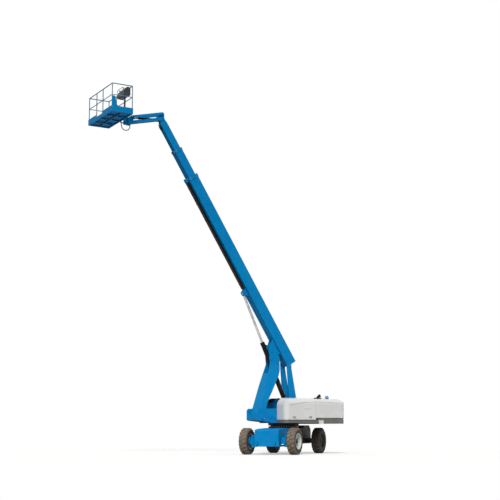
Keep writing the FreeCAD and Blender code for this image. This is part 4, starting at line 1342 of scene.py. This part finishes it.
@dataclass(frozen=True)
class RearFittings:
    """Exhaust outlet, beacon, lifting eyes, bolts, steps and nose plates of the turntable."""

    middle_z: float = 2.000
    outer_y: float = 1.150

    def build(self) -> None:
        """Add the fittings of the rear end and the nose."""
        self.add_exhaust()
        self.add_beacon()
        self.add_lifting_eyes()
        self.add_tie_bolts()
        self.add_steps()
        self.add_nose_plates()

    def add_exhaust(self) -> None:
        """Exhaust elbow with a raised lip and a heat guard, over the left rear corner."""
        base, x, y = 2.270, -1.230, 0.800
        bends = ((0.0, 0.0), (0.0, 0.060), (0.015, 0.115), (0.095, 0.150))
        points = [(x - back, y, base + up) for back, up in bends]
        pipe = Shape.tube("exhaust_outlet", points, 0.058)
        start, end = (x - 0.075, y, base + 0.144), (x - 0.110, y, base + 0.158)
        lip = Shape.sleeve("lip", start, end, 0.066, 0.052, 36)
        guard = Shape.block("guard", (x - 0.150, y - 0.080, base), (x + 0.170, y + 0.080, base + 0.055))
        guard.extrude(facing(Axis.Z), (0, 0, 0.020), 0.8).bevel(0.012, 3)
        pipe.joined([lip, guard]).recalculate().finish("turntable", "black_paint", Paint.BLACK)

    def add_beacon(self) -> None:
        """Tinted beacon on its base behind the exhaust."""
        x, y, base = -1.690, 0.800, 2.262
        foot = Shape.rod("beacon_base", (x, y, base), (x, y, base + 0.050), 0.090, 40).bevel(0.006, 2)
        foot.finish("turntable", "black_paint", Paint.BLACK)
        lens = Shape.rod("beacon_lens", (x, y, base + 0.050), (x, y, base + 0.135), 0.076, 40)
        lens.extrude(facing(Axis.Z), (0, 0, 0.030), 0.7).bevel(0.010, 3)
        lens.finish("turntable", "console_plastic", Paint.LENS)

    def add_lifting_eyes(self) -> None:
        """Two cast lifting eyes on the low middle of the rear casting."""
        eyes = []
        for y in (-0.250, 0.250):
            outline = [(-2.160, 2.000), (-2.120, 2.075), (-2.080, 2.095), (-2.040, 2.075), (-2.000, 2.000)]
            plate = Shape.outline("lifting_eyes", outline, Axis.Y, y - 0.018, y + 0.018).bevel(0.004, 2)
            start, end = (-2.080, y - 0.026, 2.048), (-2.080, y + 0.026, 2.048)
            ring = Shape.sleeve("ring", start, end, 0.040, 0.024, 32)
            eyes.append(plate.joined([ring]))
        Shape.merged(eyes).finish("turntable", "dark_grey_paint", Paint.DARK_GREY)

    def add_tie_bolts(self) -> None:
        """Large bolts that hold the casting, on round washers on its low middle."""
        spots = [(x, y, self.middle_z) for x in (-2.290, -1.870) for y in (-0.350, 0.350)]
        bolts = bolt_set("casting_bolts", spots, Axis.Z, 0.060, 0.026)
        bolts.finish("turntable", "chrome_rod", Paint.ZINC)

    def add_steps(self) -> None:
        """Pale boarding step under both sides of the rear casting, with raised treads."""
        for label, side in SIDES:
            inner, outer = side * 1.090, side * (self.outer_y + 0.010)
            step = Shape.block(
                "boarding_step_" + label, (-1.270, inner, 1.232), (-1.040, outer, 1.400))
            step.inset(facing(Axis.Y, side), 0.024, -0.020).bevel(0.008, 3)
            rib = Shape.block("rib", (-1.250, inner, 1.400), (-1.244, outer, 1.406))
            step.joined([rib.row(18, (0.0112, 0, 0))]).finish("turntable", "grey_paint", Paint.GREY)

    def add_nose_plates(self) -> None:
        """Bolted plate on both side plates at the turntable's nose."""
        for label, side in SIDES:
            inner, outer = side * 0.440, side * 0.446
            plate = Shape.block("nose_plate_" + label, (0.700, inner, 1.480), (0.960, outer, 1.720))
            plate.bevel(0.002, 1).finish("turntable", "blue_paint", Paint.BLUE)
            spots = [(x, outer, z) for x in (0.725, 0.935) for z in (1.505, 1.695)]
            bolts = bolt_set("nose_plate_bolts_" + label, spots, Axis.Y, 0.018, side * 0.009)
            bolts.finish("turntable", "chrome_rod", Paint.ZINC)


# ---- boom --------------------------------------------------------------------------
@dataclass(frozen=True)
class BoomMouth:
    """Bolts of the wear pads round a boom section's mouth."""

    name: str
    body: str
    end: float
    depth: float
    half_height: float
    half_width: float

    def build(self) -> None:
        """Add two rows of bolts to each of the collar's four sides."""
        steps = (self.end - 0.78 * self.depth, self.end - 0.22 * self.depth)
        sides = []
        for sign in (1, -1):
            flank = [
                (x, sign * self.half_width, z * self.half_height) for x in steps for z in (-0.62, 0.62)]
            sides.append(bolt_set(self.name + "_pad_bolts", flank, Axis.Y, 0.026, sign * 0.014))
            deck = [
                (x, y * self.half_width, sign * self.half_height) for x in steps for y in (-0.6, 0.6)]
            sides.append(bolt_set("pad_bolts", deck, Axis.Z, 0.026, sign * 0.014))
        Shape.merged(sides).finish(self.body, "chrome_rod", Paint.ZINC, BOOM)


@dataclass(frozen=True)
class BoomFittings:
    """Tail plate, hose track straps, track end and the fly section's hose bracket."""

    under: float = -0.2275
    track_depth: float = 0.095
    track_span: Flat = (3.850, 8.900)
    straps: int = 7

    def build(self) -> None:
        """Add the boom's fittings."""
        for mouth in (
            BoomMouth("base_mouth", "boom_base", 9.070, 0.140, 0.2415, 0.224),
            BoomMouth("mid_mouth", "boom_mid", 10.330, 0.110, 0.1875, 0.170),
        ):
            mouth.build()
        self.add_tail()
        self.add_track()
        self.add_fly_bracket()

    def add_tail(self) -> None:
        """Bolted cover on the tail plate, over the telescope cylinder's end."""
        plate = Shape.block("boom_tail_cover", (-0.008, -0.130, -0.150), (0.0, 0.130, 0.150))
        plate.bevel(0.003, 2).finish("boom_base", "blue_paint", Paint.BLUE, BOOM)
        spots = [(-0.008, y, z) for y in (-0.105, 0.105) for z in (-0.125, 0.0, 0.125)]
        bolts = bolt_set("tail_cover_bolts", spots, Axis.X, 0.022, -0.012)
        bolts.finish("boom_base", "chrome_rod", Paint.ZINC, BOOM)

    def add_track(self) -> None:
        """Straps round the hose track, and the guide at its upper end."""
        low = self.under - self.track_depth
        x0, x1 = self.track_span
        strap = Shape.block(
            "hose_track_straps", (x0 + 0.20, -0.081, low - 0.005), (x0 + 0.25, 0.081, self.under))
        strap.bevel(0.002, 1).row(self.straps, ((x1 - x0 - 0.45) / (self.straps - 1), 0, 0))
        strap.finish("boom_base", "black_paint", Paint.BLACK, BOOM)
        guide = Shape.block("hose_track_guide", (x1 + 0.002, -0.080, low - 0.012), (9.065, 0.080, -0.242))
        guide.bevel(0.012, 3).finish("boom_base", "blue_paint", Paint.BLUE, BOOM)

    def add_fly_bracket(self) -> None:
        """Bracket under the fly section's end, where the hoses come out to the jib."""
        block = Shape.block("fly_hose_bracket", (11.330, -0.060, -0.205), (11.480, 0.060, -0.150))
        block.bevel(0.010, 3).finish("boom_fly", "black_paint", Paint.BLACK, BOOM)
        hoses = []
        for y in (-0.030, 0.0, 0.030):
            points = [(11.360, y, -0.175), (11.520, y, -0.185), (11.560, y, -0.160), (11.556, y, -0.120)]
            hoses.append(Shape.tube("fly_hoses", points, 0.010))
        Shape.merged(hoses).finish("boom_fly", "hose_rubber", Paint.HOSE, BOOM)


# ---- jib and platform --------------------------------------------------------------
@dataclass(frozen=True)
class JibLines:
    """Hoses clipped along the lower jib arms, with their clamps."""

    start: Flat = (6.022, 13.695)
    drop: float = -13.6
    arm_y: float = 0.072
    half_height: float = 0.055

    def build(self) -> None:
        """Add the hoses and clamps on both lower arms."""
        place = Place((self.start[0], 0.0, self.start[1]), rise=self.drop)
        hoses, clamps = [], []
        for side in (1, -1):
            for step in (-0.010, 0.010):
                y = side * self.arm_y + step
                z = self.half_height + 0.009
                points = [(0.110, y, z), (0.300, y, z), (0.660, y, z + 0.003), (1.000, y, z), (1.190, y, z)]
                hoses.append(Shape.tube("jib_hoses", points, 0.008))
            for x in (0.200, 0.500, 0.800, 1.100):
                y, top = side * self.arm_y, self.half_height + 0.021
                clamp = Shape.block(
                    "jib_hose_clamps", (x - 0.012, y - 0.022, self.half_height),
                    (x + 0.012, y + 0.022, top))
                clamps.append(clamp.bevel(0.003, 2))
        Shape.merged(hoses).finish("jib_lower", "hose_rubber", Paint.HOSE, place)
        Shape.merged(clamps).finish("jib_lower", "chrome_rod", Paint.ZINC, place)


@dataclass(frozen=True)
class Platform:
    """Floor pattern, console controls, gate grip, foot switch and fittings of the platform."""

    rear: float = 7.670
    front: float = 8.590
    half_width: float = 1.220
    bottom: float = 13.390
    rail_radius: float = 0.021
    rotator_x: float = 7.465
    toe_board: float = 0.240
    entrance: Flat = (-0.400, 0.250)
    console_y: Flat = (0.090, 0.790)

    def build(self) -> None:
        """Add the platform's fittings."""
        self.add_floor_pattern()
        self.add_board_bolts()
        self.add_panel()
        self.add_controls()
        self.add_foot_switch()
        self.add_gate_fittings()
        self.add_post_feet()
        self.add_rotator_cap()

    def add_floor_pattern(self) -> None:
        """Raised lozenges of the floor plate, in crossing rows."""
        floor = self.bottom + 0.050
        corners = [(-0.014, 0), (0, -0.0045), (0.014, 0), (0, 0.0045)]
        lozenge = Shape.outline("floor_lozenges", corners, Axis.Z, floor, floor + 0.002)
        twin = lozenge.copied([
            Matrix.Rotation(math.radians(45), 4, "Z"),
            Matrix.Translation((0.030, 0, 0)) @ Matrix.Rotation(math.radians(-45), 4, "Z"),
        ])
        twin.obj.data.transform(Matrix.Translation((self.rear + 0.070, -self.half_width + 0.065, 0)))
        twin.row(14, (0.060, 0, 0)).row(40, (0, 0.0592, 0))
        twin.finish("platform", "blue_paint", Paint.BLUE)

    def add_board_bolts(self) -> None:
        """Bolts that hold the toe boards to the rail posts."""
        z = self.bottom + self.toe_board - 0.040
        spots = [(self.rear, y, z) for y in (-1.191, -0.400, 0.400, 1.191)]
        walls = [bolt_set("toe_board_bolts", spots, Axis.X, 0.020, -0.010)]
        for side in (1, -1):
            spots = [(x, side * self.half_width, z) for x in (self.rear + 0.029, 8.130, self.front - 0.029)]
            walls.append(bolt_set("toe_board_bolts", spots, Axis.Y, 0.020, side * 0.010))
        Shape.merged(walls).finish("platform", "chrome_rod", Paint.ZINC)

    def face_place(self) -> Place:
        """Place of the console's sloping face: its middle, with local X up the slope."""
        low, high = Vector((self.rear + 0.215, 14.470)), Vector((self.rear + 0.070, 14.640))
        middle = (low + high) / 2
        slope = math.degrees(math.atan2(high.y - low.y, high.x - low.x))
        return Place((middle.x, sum(self.console_y) / 2, middle.y), rise=slope)

    def add_panel(self) -> None:
        """Blank control plate on the console's sloping face, with a guard bar above it."""
        place = self.face_place()
        plate = Shape.block("control_plate", (-0.080, -0.320, -0.003), (0.080, 0.320, 0.0))
        plate.bevel(0.001, 1).finish("platform", "console_plastic", Paint.PLATE, place)
        y0, y1 = self.console_y[0] + 0.03, self.console_y[1] - 0.03
        x, z = self.rear + 0.200, 14.460
        points = [(x, y0, z), (x + 0.030, y0, z + 0.110), (x + 0.020, y0 + 0.04, z + 0.165),
                  (x + 0.020, y1 - 0.04, z + 0.165), (x + 0.030, y1, z + 0.110), (x, y1, z)]
        Shape.tube("console_guard", points, 0.010).finish("platform", "rail_paint", Paint.RAIL)

    def add_controls(self) -> None:
        """Two joysticks, a stop button, switches and lamps on the control plate."""
        place = self.face_place()
        boots, levers, switches = [], [], []
        for y in (-0.210, 0.170):
            boot = Shape.rod("joystick_boots", (0, y, -0.004), (0, y, -0.016), 0.034, 28)
            for scale in (0.82, 0.9, 0.75):
                boot.extrude(facing(Axis.Z, -1), (0, 0, -0.009), scale)
            boots.append(boot.bevel(0.002, 1))
            lever = Shape.rod("joystick_levers", (0, y, -0.030), (0, y, -0.074), 0.007, 16)
            lever.extrude(facing(Axis.Z, -1), (0, 0, -0.004), 2.1)
            lever.extrude(facing(Axis.Z, -1), (0, 0, -0.030), 1.05)
            levers.append(lever.extrude(facing(Axis.Z, -1), (0, 0, -0.006), 0.6).bevel(0.002, 2))
        for index in range(9):
            y = -0.140 + 0.030 * index
            for x in (-0.055, 0.052):
                nut = Shape.rod("toggle_switches", (x, y, -0.003), (x, y, -0.009), 0.007, 6)
                stem = Shape.rod("stem", (x, y, -0.009), (x + 0.004, y, -0.024), 0.0028, 10)
                switches.append(nut.joined([stem]))
        Shape.merged(boots + levers).finish("platform", "console_plastic", Paint.CONSOLE, place)
        Shape.merged(switches).finish("platform", "chrome_rod", Paint.ZINC, place)
        collar = Shape.rod("stop_button_collar", (0.030, 0.265, -0.003), (0.030, 0.265, -0.010), 0.030, 32)
        collar.bevel(0.002, 1).finish("platform", "console_plastic", Paint.YELLOW, place)
        button = Shape.rod("stop_button", (0.030, 0.265, -0.010), (0.030, 0.265, -0.024), 0.012, 32)
        button.extrude(facing(Axis.Z, -1), (0, 0, -0.002), 1.75)
        button.extrude(facing(Axis.Z, -1), (0, 0, -0.009), 1.0).bevel(0.003, 2)
        button.finish("platform", "console_plastic", Paint.RED, place)

    def add_foot_switch(self) -> None:
        """Guarded foot switch on the floor in front of the console, with its short lead."""
        floor = self.bottom + 0.050
        x, y = 7.905, 0.440
        back, left, right = x - 0.090, y - 0.075, y + 0.075
        base = Shape.block("foot_switch", (back, left, floor), (x + 0.090, right, floor + 0.022))
        hood = Shape.block("hood", (back, left, floor + 0.060), (x + 0.060, right, floor + 0.110))
        hood.inset(facing(Axis.X), 0.006, -0.020)
        cheeks = [
            Shape.block(
                "cheek", (back, middle - 0.006, floor + 0.020), (x + 0.050, middle + 0.006, floor + 0.070))
            for middle in (y + 0.069, y - 0.069)
        ]
        base.joined([hood] + cheeks).bevel(0.006, 3).finish("platform", "console_plastic", Paint.CONSOLE)
        pedal = Shape.block(
            "foot_pedal", (x - 0.060, y - 0.050, floor + 0.026), (x + 0.070, y + 0.050, floor + 0.038))
        pedal.bevel(0.004, 2).finish("platform", "console_plastic", Paint.YELLOW)

    def add_gate_fittings(self) -> None:
        """Knobs at both ends of the lifting rail and a grip at its middle."""
        x, z = self.front - 0.029, self.bottom + 0.690
        knobs = []
        for y, way in ((self.entrance[0] + 0.029, 1), (self.entrance[1] - 0.029, -1)):
            knob = Shape.rod("gate_knobs", (x, y, z + 0.030), (x, y + way * 0.016, z + 0.030), 0.010, 24)
            knobs.append(knob.bevel(0.002, 2))
        Shape.merged(knobs).finish("gate", "chrome_rod", Paint.ZINC)
        middle = sum(self.entrance) / 2
        grip = Shape.sleeve("gate_grip", (x, middle - 0.070, z), (x, middle + 0.070, z), 0.0215, 0.0170, 32)
        grip.finish("gate", "console_plastic", Paint.YELLOW)

    def add_post_feet(self) -> None:
        """Welded feet under the rail posts, on the floor plate."""
        floor = self.bottom + 0.050
        feet = []
        for x, places in (
            (self.front - 0.029, (-1.191, self.entrance[0], self.entrance[1], 1.191)),
            (self.rear + 0.029, (-1.191, -0.397, 0.397, 1.191)),
        ):
            for y in places:
                start, end = (x, y, floor), (x, y, floor + 0.012)
                feet.append(Shape.sleeve("post_feet", start, end, 0.028, self.rail_radius, 24))
        Shape.merged(feet).finish("platform", "rail_paint", Paint.RAIL)

    def add_rotator_cap(self) -> None:
        """Domed cap and bolts over the platform rotator's pin."""
        x = self.rotator_x
        cap = Shape.rod("rotator_cap", (x, 0, 13.596), (x, 0, 13.612), 0.046, 40)
        bolt = hex_bolt("cap_bolt", (7.493, 0, 13.612), Axis.Z, 0.014, 0.008)
        cap.bevel(0.003, 2).joined([bolt.ring(6, (x, 0, 0), Axis.Z)])
        cap.finish("platform", "chrome_rod", Paint.ZINC)
        turns = [math.tau * k / 8 for k in range(8)]
        spots = [(x + 0.075 * math.cos(a), 0.075 * math.sin(a), 13.300) for a in turns]
        housing = bolt_set("rotator_bolts", spots, Axis.Z, 0.018, -0.011)
        housing.finish("platform_mount", "chrome_rod", Paint.ZINC)


@dataclass(frozen=True)
class HoseEnds:
    """Crimped ferrules at both ends of the hanging hose bundle."""

    hose: PlatformHose

    def build(self) -> None:
        """Add a ferrule at each end."""
        ends = []
        route = self.hose.route
        radius = self.hose.diameter / 2
        for x, z in (route[0], route[-1]):
            start, end = (x, 0.0, z - 0.050), (x, 0.0, z)
            ends.append(Shape.sleeve("hose_ferrules", start, end, radius + 0.005, radius + 0.0005, 32))
        Shape.merged(ends).finish("platform_mount", "chrome_rod", Paint.ZINC)


# ---- machine -----------------------------------------------------------------------
@dataclass(frozen=True)
class Dressing:
    """Finishes of the solids that keep their own shape."""

    frame: dict[str, object]

    def build(self) -> None:
        """Paint every CAD node by its slot."""
        paints = {
            "blue_paint": Paint.BLUE, "grey_paint": Paint.GREY, "dark_grey_paint": Paint.DARK_GREY,
            "black_paint": Paint.BLACK, "chrome_rod": Paint.CHROME, "rail_paint": Paint.RAIL,
            "console_plastic": Paint.CONSOLE, "hose_rubber": Paint.HOSE, "tyre": Paint.SIDEWALL,
            "rim_paint": Paint.RIM,
        }
        for part in self.frame["record"]["subparts"]:
            node = self.frame["nodes"][part["node"]]
            paint = paints[part["material_slot"]]
            # Rear rims take a dark finish that paints the shade under the counterweight.
            if paint is Paint.RIM and "rear" in part["node"]:
                paint = Paint.REAR_RIM
            for slot in node.material_slots:
                slot.material = paint.material


def main() -> None:
    """Load the frame, build every sub-assembly in order and report the pieces."""
    logging.basicConfig(level=logging.INFO, format="%(message)s")
    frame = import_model()
    Studio().build()
    hose = PlatformHose()
    parts = [hose, Dressing(frame), Wheel(), RunningGear(), *PINS, *CYLINDERS, Covers(frame["nodes"])]
    parts += [RearFittings(), BoomFittings(), JibLines(), Platform(), HoseEnds(hose)]
    for part in parts:
        part.build()
        LOG.info("built %s", getattr(part, "name", type(part).__name__))


if __name__ == "__main__":
    main()
